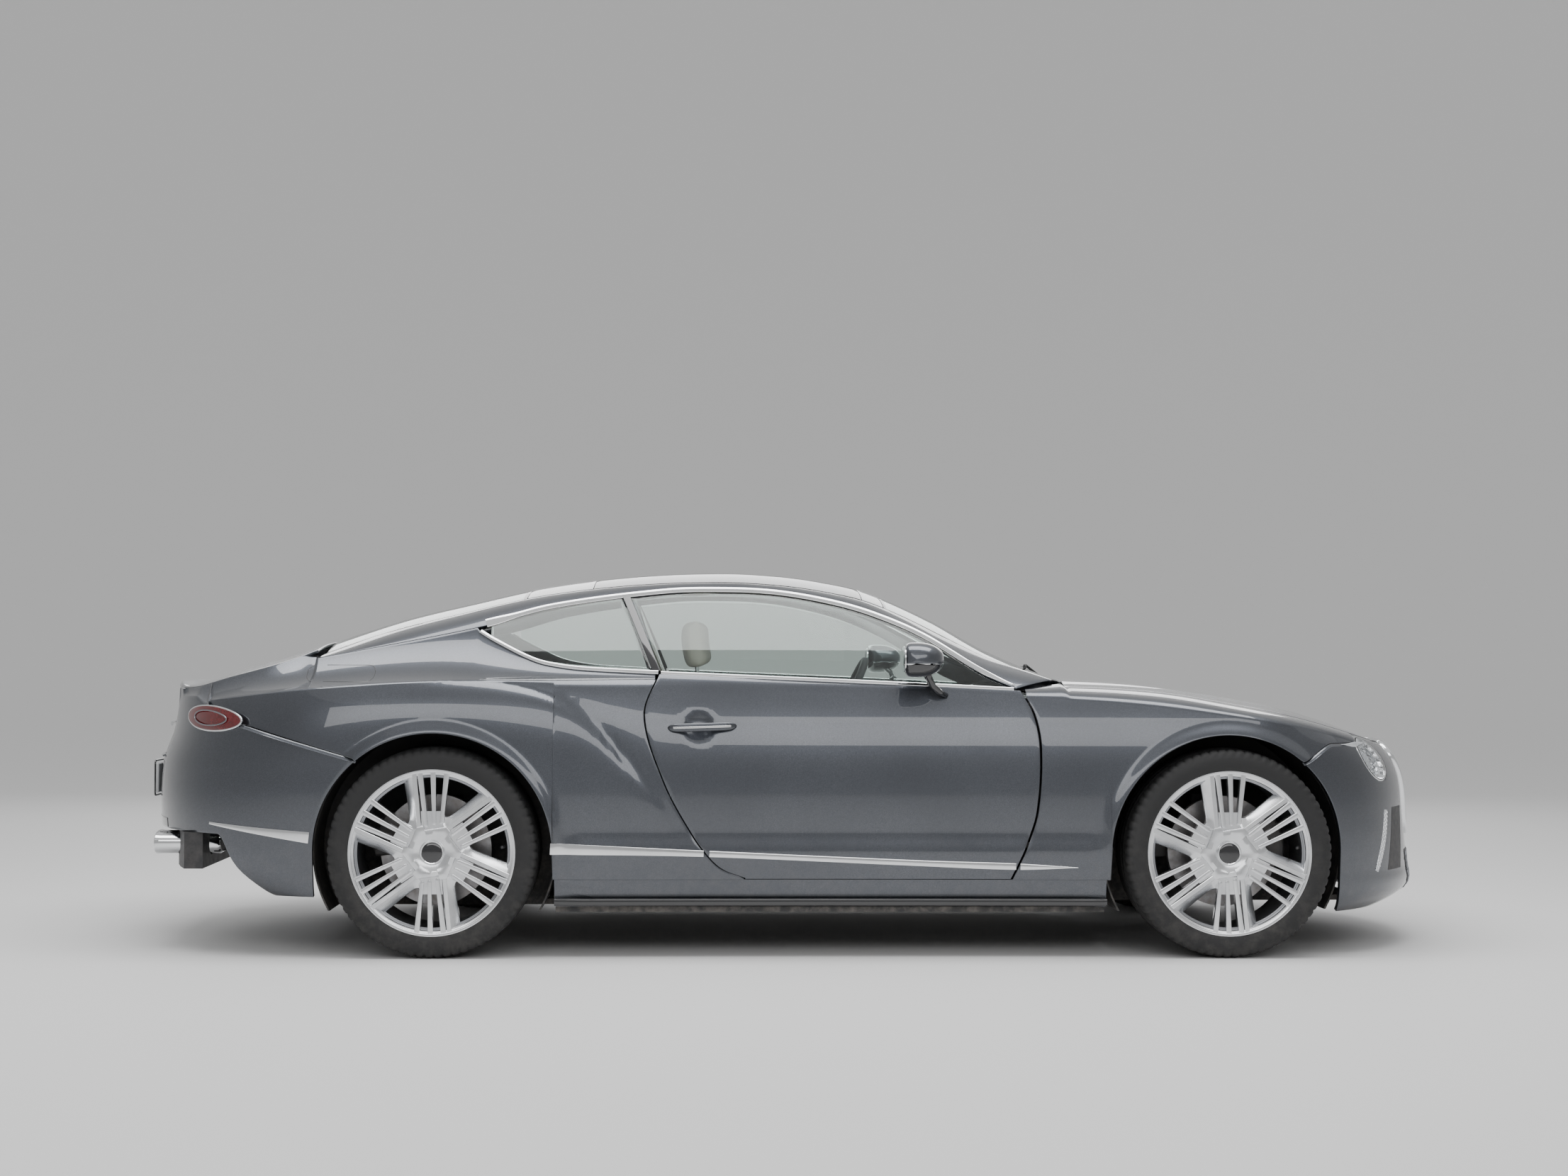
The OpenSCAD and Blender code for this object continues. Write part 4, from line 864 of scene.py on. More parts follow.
def rearTop(u):
    # Follows the boot lid's slanting edge, then the line under the quarter
    z = np.full_like(u, 850.0)
    for _ in range(14):
        p = tailPoint(u, z)
        x, y = p[..., 0], np.abs(p[..., 1])
        outer = np.where(x > -2141, rearJoin(x),
                         mix(rearJoin(np.array(-2141.0)), 922, ease((-2141 - x) / 60)))
        z = mix(z, np.clip(708 + 242 * (y - 435) / 70, 701, outer), 0.6)
    return z


def rearBumperGrid(rows=50, columns=260):
    u = np.linspace(1, -1, columns)[None, :]
    v = np.linspace(0, 1, rows)[:, None]
    low = mix(432, 212, ease((np.abs(u) - 0.72) / 0.12))
    z = mix(low, rearTop(u), v)
    grid = tailPoint(np.broadcast_to(u, z.shape), z)
    top = grid[-1]
    reach = np.clip((body["bootFront"] - top[:, 0]) / 493, 0, 1)
    taper = np.where(reach > 0.85, 60 * (reach - 0.85) / 0.15, 0)
    lid = curve("bootHalf", mix(body["bootFront"], body["bootRear"], reach)) - taper
    yTo = np.minimum(np.abs(top[:, 1]) - 1, lid + 4)
    share = ease((-2138 - top[:, 0]) / 5) * ease((top[:, 2] - 880) / 10)
    return np.concatenate([grid, foldOver(top, yTo, deckZ(top[:, 0], yTo) - 1, share)])


def frontX(y, z, depth=0.0):
    # The front bumper's surface straight ahead of a point
    start, n = body["noseStart"], curve("nose", z)
    half = endHalf(z, start, body["frontAxle"])
    return start + (n - start - depth) * np.sqrt(np.maximum(0, 1 - (np.abs(y) / half) ** 2)) ** 0.8


def frontY(x, z):
    # The front bumper's half width at a station: frontX turned round
    start, n = body["noseStart"], curve("nose", z)
    half = endHalf(z, start, body["frontAxle"])
    return half * np.sqrt(np.maximum(0, 1 - ((x - start) / (n - start)) ** 2.5))


def rearX(y, z, depth=0.0):
    # The rear bumper's surface straight behind a point
    start, n = body["tailStart"], curve("tail", z)
    half = endHalf(z, start, body["rearAxle"])
    turn = np.minimum(np.abs(y) / half, 1) ** 1.1
    return start + (n - start + depth) * np.sqrt(1 - turn ** 2) ** (2 / 3)


def rearY(x, z):
    # The rear bumper's half width at a station
    start, n = body["tailStart"], curve("tail", z)
    half = endHalf(z, start, body["rearAxle"])
    return half * np.maximum(0, 1 - ((x - start) / (n - start)) ** 3) ** (1 / 2.2)


def bothSides(part):
    # A part and its mirror image
    return [part, mirrored(part)]


def replaceWith(name, parts, finishName, nodes, bodyName="root"):
    # A new piece that stands for one or more of the frame's nodes
    piece = addPiece(name, parts, finishName, bodyName)
    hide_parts(*nodes)
    return piece


def cut(piece, parts):
    # Takes the parts' volume out of a piece and keeps the result as its mesh
    tool = addPiece(piece.name + "Cutter", parts, "glossBlack")
    modifier = piece.modifiers.new("cut", "BOOLEAN")
    modifier.operation, modifier.solver, modifier.object = "DIFFERENCE", "MANIFOLD", tool
    graph = bpy.context.evaluated_depsgraph_get()
    result = bpy.data.meshes.new_from_object(piece.evaluated_get(graph))
    piece.modifiers.clear()
    piece.data = result
    result.polygons.foreach_set("use_smooth", np.full(len(result.polygons), True))
    bpy.data.objects.remove(tool)


replaceWith("wingPanels", bothSides(shell(wingGrid(), panel["skin"])), "carPaint", ["front_fenders"])
replaceWith("quarterPanels", bothSides(shell(quarterGrid(), panel["quarterThick"])), "carPaint",
            ["rear_quarters"])
replaceWith("cantRails", bothSides(shell(pillarGrid(), panel["pillarThick"], fold=1.2)), "carPaint",
            ["roof_pillars"])
replaceWith("roofPanels",
            [shell(topGrid(*span, 60), panel["sheetThick"]) for span in ((-1000, -756, 14),
                                                                         (252, 330, 10))],
            "carPaint", ["roof_panels"])
replaceWith("bonnetPanel", [shell(bonnetGrid(), panel["sheetThick"])], "carPaint", ["bonnet"], "bonnet")
replaceWith("bootPanel", [shell(bootGrid(), panel["lidThick"], centre=(-1700, 0, 700))], "carPaint",
            ["boot_lid"], "boot_lid")
for sideName, flip in (("left", False), ("right", True)):
    part = shell(doorGrid(), panel["doorThick"])
    replaceWith("doorPanel" + sideName.title(), [mirrored(part) if flip else part], "carPaint",
                ["door_" + sideName], "door_" + sideName)
frontBumper = replaceWith("frontBumper", [shell(frontBumperGrid(), panel["sheetThick"])], "carPaint",
                          ["front_bumper"])
replaceWith("rearBumper", [shell(rearBumperGrid(), panel["sheetThick"])], "carPaint", ["rear_bumper"])
print("panels done")

# Glass
def sideGlassGrid(rows=26, columns=70):
    # From the belt to the cant rail, raked at the rear edge
    t = np.linspace(0, 1, columns)[None, :]
    v = np.linspace(0, 1, rows)[:, None]
    x0 = mix(-492, 770, t)
    low = curve("belt", x0) - 5.4
    x = x0 - 118 * (1 - t) * v
    z = mix(low, np.maximum(curve("cant", x) - 8, low + 6), v)
    return np.stack([x, cabin(x, z), z], -1)


def quarterGlassGrid(rows=24, columns=50):
    # From the belt to the cant rail, closing to a point at the rear
    x0 = mix(-1120, -528, np.linspace(0, 1, columns))[None, :]
    v = np.linspace(0, 1, rows)[:, None]
    low = curve("belt", x0) + 1
    x = x0 - 118 * v * ease((x0 + 1120) / 590)
    z = mix(low, np.maximum(curve("cant", x) - 1.5, low + 2), v)
    return np.stack([x, cabin(x, z), z], -1)


replaceWith("windscreenGlass",
            [shell(topGrid(333, 936, 50, 60, drop=1.5, trim=2), panel["glassThick"], fold=0.5)],
            "cabinGlass", ["windscreen"])
replaceWith("rearGlass", [shell(topGrid(-1738, -1003, 50, 60, drop=1.5, trim=2), panel["glassThick"],
                                fold=0.5)], "cabinGlass", ["rear_window"])
replaceWith("roofGlassPanel", [shell(topGrid(-753, 249, 60, 60), 6, fold=1.0)], "roofGlass", ["roof_glass"])
replaceWith("quarterGlass", bothSides(shell(quarterGlassGrid(), panel["glassThick"], fold=0.5)),
            "cabinGlass", ["quarter_windows"])
for sideName, flip in (("left", False), ("right", True)):
    part = shell(sideGlassGrid(), panel["glassThick"], fold=0.5)
    replaceWith("doorGlass" + sideName.title(), [mirrored(part) if flip else part], "cabinGlass",
                ["door_glass_" + sideName], "door_" + sideName)
print("glass done")


# Wheels: drawn for the right side, in a frame with u clockwise, v outwards and out away from the car
wheel = {"groups": 6, "lip": 296.0, "faceSet": 6.0, "spokeDepth": 30.0, "hub": 118.0, "cap": 42.0,
         "discRadius": 200.0, "treadBlocks": 72, "grooveDepth": 6.5, "notchDepth": 5.0}
hub = body["hubHeight"]


def around(u, v, out, turn, axle):
    # From the spoke's own frame to the car's, turned clockwise about the axle
    u, v, out = np.broadcast_arrays(np.asarray(u, float), np.asarray(v, float), np.asarray(out, float))
    return np.stack([axle + u * np.cos(turn) + v * np.sin(turn), -out,
                     hub + v * np.cos(turn) - u * np.sin(turn)], -1)


def slat(uIn, uOut, widthIn, widthOut, start, face, turn, axle):
    # A raised bar from near the hub to the rim's lip, its inner end rounded off
    s = np.concatenate([[0.0, 0.006, 0.016, 0.032], np.linspace(0.05, 1, 10)])
    v, u = mix(start, 287, s), mix(uIn, uOut, s)
    w = mix(widthIn, widthOut, s) * np.sqrt(1 - np.maximum(0, 1 - s / 0.032) ** 2 * 0.9)
    low, b = face - wheel["spokeDepth"], 2.2
    across = columns(-w / 2, -w / 2, -w / 2 + 0.7, -w / 2 + b, w / 2 - b, w / 2 - 0.7, w / 2, w / 2)
    out = np.array([low, face - b, face - 0.7, face, face, face - 0.7, face - b, low])
    return tube(around(u[:, None] + across, v[:, None], out, turn, axle))


def broadSpoke(face, turn, axle):
    # A bright ridge with a broad flank that falls to the window and spreads into the hub
    s = np.linspace(0, 1, 18)
    v = mix(84, 287, s)
    right, left = mix(-37, -56.5, s), mix(-52, -73, s)
    foot = mix(-74, -108, s) - 30 * np.maximum(0, 1 - s / 0.22) ** 2 - 6 * ease((s - 0.85) / 0.15)
    low = face - wheel["spokeDepth"] - 4
    drop = mix(13, 21, ease(s * 2))
    across = columns(foot, foot, foot + 2, left - 1.5, left + 0.8, right - 1.2, right, right)
    out = columns(low, face - drop - 3, face - drop, face - 2.2, face, face, face - 1.2, low)
    return tube(around(across, v[:, None], out, turn, axle))


def slatFoot(face, turn, axle):
    # The plate that ties the three slats together between the hub and the start of the slots
    s = np.linspace(0, 1, 8)
    v = mix(84, 147, s)
    left, right, top = mix(-36, -40, s), mix(40, 45, s) + 26 * (1 - s) ** 3, face - 7
    across = columns(left, left, right - 3, right, right)
    out = np.array([face - 32, top, top, top - 3, face - 32])
    return tube(around(across, v[:, None], out, turn, axle))


def hubCover(face, axle):
    # Six-sided pinwheel cover: each side has a step, and the middle is dished round the cap
    corners = []
    for k in range(6):
        turn = k * np.pi / 3
        for u, v in ((-55, 91), (-31, 96), (-27, 81), (12, 86.5)):
            corners.append((u * np.cos(turn) + v * np.sin(turn), v * np.cos(turn) - u * np.sin(turn)))
    corners = np.array(corners)
    edge = np.concatenate([mix(corners, np.roll(corners, -1, 0), t)[:, None] for t in (0.03, 0.27, 0.5,
                                                                                       0.73, 0.97)], 1)
    edge = edge.reshape(-1, 2)
    reach = np.hypot(edge[:, 0], edge[:, 1])
    rings = []
    for grow, fixed, out in ((1.0, None, face - 22), (1.0, None, face - 1.6), (0.988, None, face - 0.4),
                             (0.972, None, face), (0.80, None, face + 0.6), (None, 66, face - 1.0),
                             (None, 58, face - 4.5),
                             (None, 50, face - 8.5), (None, 44, face - 10), (None, 43, face - 16)):
        scale = grow if fixed is None else (fixed / reach)[:, None]
        ring = edge * scale
        rings.append(around(ring[:, 0], ring[:, 1], out, 0.0, axle))
    return tube(rings)


def turned(profile, axle, steps=96, closed=False):
    # A ring turned about the axle from (radius, out) points
    return spun([(r, -out) for r, out in profile], axle, hub, steps, closed)


def tyreSolid(axle, middle, width, steps=288):
    # Section from bead to bead; the tread's height drops in four grooves and in the blocks' cuts
    half = width / 2
    y = np.concatenate([np.linspace(half - 13, half - 1.2, 5),
                        [half - 0.2, half - 0.8, half - 2.4, half - 4.6, half - 7.5],
                        np.linspace(half - 11, 0, 24)])
    r = curve([(0, 375), (half * 0.5, 374.6), (half * 0.78, 372.6), (half - 18, 369.6), (half - 11, 365.4)],
              y)
    r[:5] = [286, 292, 298.5, 306, 316]
    r[5:10] = [328, 338, 347, 354.5, 361]
    edge = np.abs(y) / half
    groove = np.zeros_like(y)
    for at in (0.20, 0.56):
        groove = np.maximum(groove, ease((0.052 - np.abs(edge - at)) / 0.016))
    angle = np.linspace(0, 1, steps, endpoint=False)[:, None]
    wave = (angle * wheel["treadBlocks"] + 0.9 * edge[None, :]) % 1
    notch = ease((0.16 - np.abs(wave - 0.5)) / 0.06) * ease((edge - 0.63) / 0.03) * ease((r - 345) / 12)
    fine = (angle * wheel["treadBlocks"] - 1.6 * edge[None, :]) % 1
    sipe = ease((0.10 - np.abs(fine - 0.5)) / 0.05) * ease((0.50 - edge) / 0.03) * ease((edge - 0.24) / 0.03)
    rib = 0.7 * np.exp(-((r - 322) / 2.5) ** 2) + 0.9 * np.exp(-((r - 350) / 2) ** 2)
    depth = np.maximum(groove * wheel["grooveDepth"], np.maximum(notch * wheel["notchDepth"], sipe * 2.6))
    tread = r - depth
    bulge = np.broadcast_to(y + rib, tread.shape) - notch * 2.2 * ease((edge - 0.85) / 0.1)
    rr = np.concatenate([tread, tread[:, -2::-1], np.broadcast_to([296.0, 340, 352, 340, 296], (steps, 5))],
                        1)
    inner = np.array([-half + 24, -half + 22, 0, half - 22, half - 24])
    yy = np.concatenate([bulge, -bulge[:, -2::-1], np.broadcast_to(inner, (steps, 5))], 1)
    yy = np.clip(yy, -half, half)
    a = 2 * np.pi * angle
    return tube(np.stack([axle + rr * np.sin(a), -(middle + yy), hub + rr * np.cos(a)], -1), closed=True)


def wheelParts(axle, middle, width):
    # Six groups of a broad spoke and three slats, with the hub, lip, barrel, cap and boss
    face = middle + width / 2 - 6 - wheel["faceSet"]
    lipFace, back = middle + width / 2 - 6, middle - width / 2 + 6
    spokes = []
    for k in range(wheel["groups"]):
        turn = k * np.pi / 3
        spokes.append(broadSpoke(face, turn, axle))
        spokes.append(slatFoot(face, turn, axle))
        for uIn, uOut, wIn, wOut, start in ((-20, -44.5, 14, 21, 90), (8, 2.5, 12.5, 20, 97),
                                            (33, 51.5, 13, 20, 100)):
            spokes.append(slat(uIn, uOut, wIn, wOut, start, face - 0.4, turn, axle))
    spokes.append(turned([(60, face - 62), (96, face - 58), (116, face - 44), (wheel["hub"], face - 30),
                          (112, face - 20),
                          (96, face - 12), (60, face - 12)], axle, 72))
    lip = turned([(297, lipFace - 14), (297.4, lipFace - 3), (295.8, lipFace - 0.4), (290, lipFace),
                  (286.5, lipFace - 1.2),
                  (285.2, lipFace - 6), (283.5, lipFace - 7), (277, lipFace - 8), (275.2, lipFace - 11),
                  (274.4, lipFace - 17),
                  (276, lipFace - 24), (290, lipFace - 24)], axle, 144, True)
    barrel = turned([(275, lipFace - 16), (271, lipFace - 18), (271, lipFace - 25), (267, lipFace - 27),
                     (266, lipFace - 36),
                     (270, lipFace - 46), (272, lipFace - 90), (272, back + 22), (282, back + 2),
                     (292, back),
                     (295, back + 3), (292, back + 12), (279, back + 26), (279, lipFace - 90),
                     (280, lipFace - 26)],
                    axle, 96, True)
    cap = turned([(30, face - 16), (42, face - 12), (42, face - 3), (40.5, face - 1.2), (38.5, face - 1.2),
                  (36.5, face - 3),
                  (36, face - 5), (30, face - 5)], axle, 72, True)
    boss = turned([(36.3, face - 12), (36.3, face - 4), (34, face - 2.6), (26, face - 1.2),
                   (14, face - 0.4), (1, face)], axle, 60)
    return {"spokes": spokes, "cover": [hubCover(face + 1.2, axle)], "lip": [lip], "barrel": [barrel],
            "cap": [cap], "boss": [boss]}


def discParts(axle, flat):
    # Two friction faces with a vented gap, and the bell that meets the hub; flat is the outer face
    r = wheel["discRadius"]
    plates = []
    for out in (flat, flat - 20):
        plates.append(turned([(112, out - 10), (r - 1, out - 10), (r, out - 9), (r, out - 1), (r - 1, out),
                              (118, out)], axle, 96, True))
    vanes = [tube(around(mix(-2.0, 2.0, np.array([0, 1, 1, 0])), mix(116, r - 3, np.array([[0.0], [1.0]])),
                         np.array([flat - 21, flat - 21, flat - 9, flat - 9]), k * np.pi / 24,
                         axle)) for k in range(48)]
    bell = turned([(113, flat - 6), (110, flat + 22), (104, flat + 28), (66, flat + 30), (64, flat + 34),
                   (30, flat + 34),
                   (30, flat - 10), (113, flat - 10)], axle, 72, True)
    return plates + vanes, [bell]


def caliperParts(axle, flat, start, stop):
    # A bridge over the disc's edge with a pad block on the outer side
    s = np.linspace(0, 1, 26)
    a = np.radians(mix(start, stop, s))
    thick = np.sqrt(np.clip(1 - (2 * s - 1) ** 8, 0, 1)) * 0.5 + 0.5
    rings = []
    for k in range(len(s)):
        t = thick[k]
        section = np.array([(118, flat + 4), (122, flat + 30 * t), (135, flat + 42 * t),
                            (196, flat + 42 * t), (214, flat + 34 * t),
                            (226 * 0.5 + 226 * 0.5 * t, flat + 10), (226 * 0.5 + 226 * 0.5 * t, flat - 28),
                            (206, flat - 40),
                            (204, flat - 26), (204, flat + 4)])
        rings.append(np.stack([axle + section[:, 0] * np.cos(a[k]), -section[:, 1],
                               hub + section[:, 0] * np.sin(a[k])], -1))
    return [tube(rings)]


sides = (("right", False), ("left", True))


def handed(parts, flip):
    # Mirrors the parts for the left side
    return [mirrored(p) for p in parts] if flip else parts


for end, axle, middle, width, flat in (("front", body["frontAxle"], 832.0, 275.0, 830.0),
                                       ("rear", body["rearAxle"], 822.0, 305.0, 820.0)):
    parts = wheelParts(axle, middle, width)
    rubber = tyreSolid(axle, middle, width)
    disc, bell = discParts(axle, flat)
    grip = caliperParts(axle, flat, -12, 40) if end == "front" else caliperParts(axle, flat, 140, 186)
    valve = rod(around(255, 20, middle + width / 2 - 40, 0, axle),
                around(246, 19, middle + width / 2 - 24, 0, axle), 5.5, 12)
    for sideName, flip in sides:
        where = "wheel_%s_%s" % (end, sideName)
        tag = end.title() + sideName.title()
        replaceWith("tyre" + tag, handed([rubber], flip), "tyreRubber", ["tyre_%s_%s" % (end, sideName)],
                    where)
        piece = replaceWith("spokes" + tag, handed(parts["spokes"], flip), "rimSilver", [where], where)
        piece.data.set_sharp_from_angle(angle=math.radians(28))
        for label, finishName in (("cover", "rimSilver"), ("lip", "rimSilver"), ("barrel", "rimShadow"),
                                  ("cap", "chromeTrim"), ("boss", "glossBlack")):
            addPiece(label + tag, handed(parts[label], flip), finishName, where, crease=32)
        addPiece("brakeDisc" + tag, handed(disc, flip), "discIron", where, crease=30)
        addPiece("discBell" + tag, handed(bell, flip), "castMetal", where, crease=30)
        addPiece("valve" + tag, handed([valve], flip), "moulded", where)
        carrier = "knuckle_" + sideName if end == "front" else "root"
        addPiece("caliper" + tag, handed(grip, flip), "castMetal", carrier, crease=30)
print("wheels done")


# Trim: drawn on the left side and mirrored
trim = {"windowWidth": 22.0, "beltWidth": 14.0, "handleLength": 245.0, "handleHeight": 30.0,
        "handleStand": 24.0, "sideStrip": [(-882, 389), (-342, 372), (441, 338), (787, 326), (1006, 323)],
        "stripHalf": [(-882, 20), (-342, 11), (441, 10), (787, 11), (1006, 1.0)],
        "flapCentre": (-1655.0, 1009.0), "flapHalf": (129.0, 30.0), "mirror": (430.0, 990.0, 1066.0)}
leanOut = np.array((0, 0.876, 0.482))


def addBoth(name, parts, finishName, bodies=("root", "root"), crease=35):
    # One piece for the car's two sides when both ride on one body, or one each when they move apart
    far = [mirrored(p) for p in parts]
    if bodies[0] == bodies[1]:
        addPiece(name, parts + far, finishName, bodies[0], crease)
    else:
        addPiece(name + "Left", parts, finishName, bodies[0], crease)
        addPiece(name + "Right", far, finishName, bodies[1], crease)


doorBodies = ("door_left", "door_right")
rail = pillarGrid(41, 170)
rail = rail[3][(rail[3][:, 0] > -1150) & (rail[3][:, 0] < 792)]
swell = mix(1.0, 1.6, ease((-1010 - rail[:, 0]) / 110)) * mix(0.3, 1.0, ease((792 - rail[:, 0]) / 110))
addBoth("windowSurround", [sweep(rail + leanOut * 1.5, rounded(trim["windowWidth"], 6, 2.4), leanOut,
                                 columns(swell, 1.0 + 0 * swell))], "chromeTrim")


def beltPath(x0, x1, stand, drop, count=60):
    # A line along the belt, standing off the glass
    x = np.linspace(x0, x1, count)
    z = curve("belt", x) - drop
    return np.stack([x, cabin(x, z) + stand, z], -1)


beltProfile = rounded(trim["beltWidth"], 8, 2.4)
addBoth("beltStripDoor", [sweep(beltPath(-494, 785, 8, 2.5), beltProfile, leanOut)], "chromeTrim",
        doorBodies)
addBoth("beltStripRear",
        [sweep(beltPath(-1158, -504, 3.5, 1), rounded(trim["beltWidth"] + 2, 7, 2.4), leanOut)],
        "chromeTrim")
t = np.linspace(0.0, 1.0, 30)
x = -511 - 118 * t
z = mix(curve("belt", x) + 2, curve("cant", x) + 1, t)
addBoth("pillarStrip", [sweep(np.stack([x, cabin(x, z) + 0.6, z], -1), rounded(27, 5, 1.8), leanOut)],
        "glossBlack")

for label, x0, x1, bodies in (("Rear", -882, -337, ("root", "root")), ("Door", -316, 783, doorBodies),
                              ("Wing", 799, 1006, ("root", "root"))):
    x = np.linspace(x0, x1, 70)
    z = curve(trim["sideStrip"], x)
    half = curve(trim["stripHalf"], x)
    stand = np.stack([x, side(x, z) + 1.5, z], -1)
    addBoth("sideStrip" + label,
            [sweep(stand, rounded(2, 7, 0.9), (0, 1, 0), np.stack([half, np.ones(70)], 1))],
            "chromeTrim", bodies)

# door handles: a bar that stands off the skin and comes back to it at both ends
x = np.linspace(-344 - trim["handleLength"] / 2, -344 + trim["handleLength"] / 2, 50)
s = np.linspace(-1, 1, 50)
stand = trim["handleStand"] * (1 - np.abs(s) ** 4) + 3
z = 823 + 4 * s
bar = np.stack([x, side(x, z) + stand, z], -1)
grow = np.sqrt(np.clip(1 - s ** 8, 0.05, 1))
addBoth("doorHandle",
        [sweep(bar, rounded(trim["handleHeight"], 14, 6.5), (0, 1, 0), np.stack([grow, grow], 1))],
        "carPaint", doorBodies)
addBoth("handleInlay", [sweep(bar[4:-4] + (0, 7, 0), rounded(7, 3, 1.2), (0, 1, 0))], "chromeTrim",
        doorBodies)

# mirrors: a D-shaped housing along the car's width, split at the chrome line
mx, my, mz = trim["mirror"]
t = np.linspace(-1, 1, 36)[:, None]
size = (1 - np.abs(t) ** 3.2) ** 0.5 * 0.94 + 0.06
a = np.linspace(0, 2 * np.pi, 48, endpoint=False)[None, :]
front = np.cos(a) > 0
px = np.where(front, 92 * np.cos(a), 52 * np.sign(np.cos(a)) * np.abs(np.cos(a)) ** 0.35)
pz = 62 * np.sign(np.sin(a)) * np.abs(np.sin(a)) ** 0.8
housing = np.stack([mx - 2 + px * size + -14 * (t + 0.2), my + 96 * t + 0 * a,
                    mz + pz * size * mix(0.9, 1, ease((t + 1) * 1.5))], -1)


def mirrorBand(low, high, grow=1.0):
    # The housing between two heights, a little larger or smaller than the rest
    part = housing.copy()
    part[..., 0] = mx + (part[..., 0] - mx) * grow
    part[..., 2] = np.clip(part[..., 2], low, high)
    return tube(part)


addBoth("mirrorCap", [mirrorBand(mz - 14, 2000)], "carPaint", doorBodies, 50)
addBoth("mirrorBase", [mirrorBand(0, mz - 18, 0.985)], "glossBlack", doorBodies, 50)
addBoth("mirrorLine", [mirrorBand(mz - 18.5, mz - 13.5, 1.012)], "chromeTrim", doorBodies, 50)
plate = np.stack([np.zeros(40), *oval(164, 92, 40, 0.75).T], -1)
addBoth("mirrorGlass", [tube([plate + (mx - 58, my + 2, mz + 2), plate + (mx - 54, my + 2, mz + 2)])],
        "chromeTrim", doorBodies)
foot = np.array([(500, 0, 953), (494, 0, 968), (478, 0, 990), (458, 0, 1016), (446, 0, 1032)], float)
foot[:, 1] = [side(500.0, 953.0) - 6, side(500.0, 953.0) + 16, 914, 938, 962]
for k, sideName in enumerate(("left", "right")):
    part = sweep(foot, rounded(88, 22, 10), (0, 0.6, 0.8),
                 np.array([[1.15, 1], [1, 1], [0.85, 1], [0.8, 1], [0.8, 1]]))
    part = mirrored(part) if k else part
    replaceWith("mirrorFoot" + sideName.title(), [part], "glossBlack", ["mirror_" + sideName],
                "door_" + sideName)


def crownPoint(x, z):
    # A point of the quarter's upper surface at a station and a height
    a0, a1 = side(x, curve("crease", x)), curve("crease", x)
    e0, e1 = quarterTop(x)
    w = np.linspace(0, 1, 200)[:, None]
    zs = quad(a1, mix(a1, e1, 0.3), e1, w)
    ys = quad(a0, mix(a0, e0, 0.72), e0, w)
    k = np.argmin(np.abs(zs - z), 0)
    return np.stack([x, ys[k, np.arange(len(x))], z], -1)


# fuel flap: a gloss black line round its outline on the quarter, painted shade for the flap's shut gap
outline = rounded(2 * trim["flapHalf"][0], 2 * trim["flapHalf"][1], 26, 8)
ring = np.concatenate([mix(outline, np.roll(outline, -1, 0), s)[:, None] for s in (0, 0.25, 0.5, 0.75)],
                      1).reshape(-1, 2)
loop = crownPoint(trim["flapCentre"][0] + ring[:, 0], trim["flapCentre"][1] + ring[:, 1])
loop[:, 1] += 0.2
addPiece("fuelFlapShadeLine", [mirrored(sweep(loop, rounded(2.6, 1.2, 0.4, 1), (0, 0.8, 0.6), closed=True))],
         "glossBlack")

# wipers rest low on the windscreen
for k, (y0, y1) in enumerate(((560, -60), (20, -560))):
    y = np.linspace(y0, y1, 24)
    xe = mix(842, 868, np.linspace(0, 1, 24)) if k == 0 else mix(868, 842, np.linspace(0, 1, 24))
    x = xe + 62 * ease((xe - 330) / 600) * (1 - (y / 700) ** 2)
    path = np.stack([x, y, roofZ(x, y) + 7], -1)
    arm = np.stack([mix(x[0] + 60, x[11], np.linspace(0, 1, 10)),
                    mix(y[0] - 30, y[11], np.linspace(0, 1, 10)),
                    mix(float(roofZ(x[0] + 60, y[0] - 30)) + 8, path[11, 2] + 7, np.linspace(0, 1, 10))],
                   -1)
    addPiece("wiper%d" % (k + 1),
             [sweep(path, rounded(9, 12, 2), (0, 0, 1)), sweep(arm, rounded(12, 6, 2), (0, 0, 1))],
             "moulded", crease=35)
print("trim done")


# Front end: grille, headlamps, blades, intakes
ends = {"grilleTop": 752.0, "grilleLow": 410.0, "grilleHalfTop": 430.0, "grilleHalfLow": 380.0,
        "grilleCorner": 58.0, "meshPitch": 30.0, "lampCentre": (714.0, 706.0), "lampRadius": 80.0,
        "lampBulge": 16.0, "lampOval": 0.86, "lampToe": 0.35, "pipe": (560.0, 382.0), "plateHeight": 600.0}


def grilleOutline(inset=0.0, count=40):
    # A trapezium with round corners in the y-z plane, anticlockwise from its right lower corner
    top, low, r = ends["grilleTop"] - inset, ends["grilleLow"] + inset, ends["grilleCorner"] - 0.6 * inset
    corners = [(ends["grilleHalfLow"] - inset - r, low + r, -90),
               (ends["grilleHalfTop"] - inset - r, top - r, 0),
               (-(ends["grilleHalfTop"] - inset - r), top - r, 90),
               (-(ends["grilleHalfLow"] - inset - r), low + r, 180)]
    points = []
    for (y, z, start), (y2, z2, nextStart) in zip(corners, corners[1:] + corners[:1]):
        a = np.radians(np.linspace(start, start + 90, 9))
        points += list(np.stack([y + r * np.cos(a), z + r * np.sin(a)], 1))
        last = points[-1]
        first = np.array([y2 + r * np.cos(np.radians(nextStart)), z2 + r * np.sin(np.radians(nextStart))])
        points += list(mix(last, first, np.linspace(0, 1, count // 4 + 2)[1:-1, None]))
    return np.array(points)


def faceX(y, z):
    # The grille's face: the bumper's surface, kept just ahead of the bonnet's front edge higher up
    bonnetEdge = 2268 - 105 * (np.abs(y) / 600) ** 2 + 9
    return np.maximum(frontX(y, z), np.where(z > 700, bonnetEdge, 0))


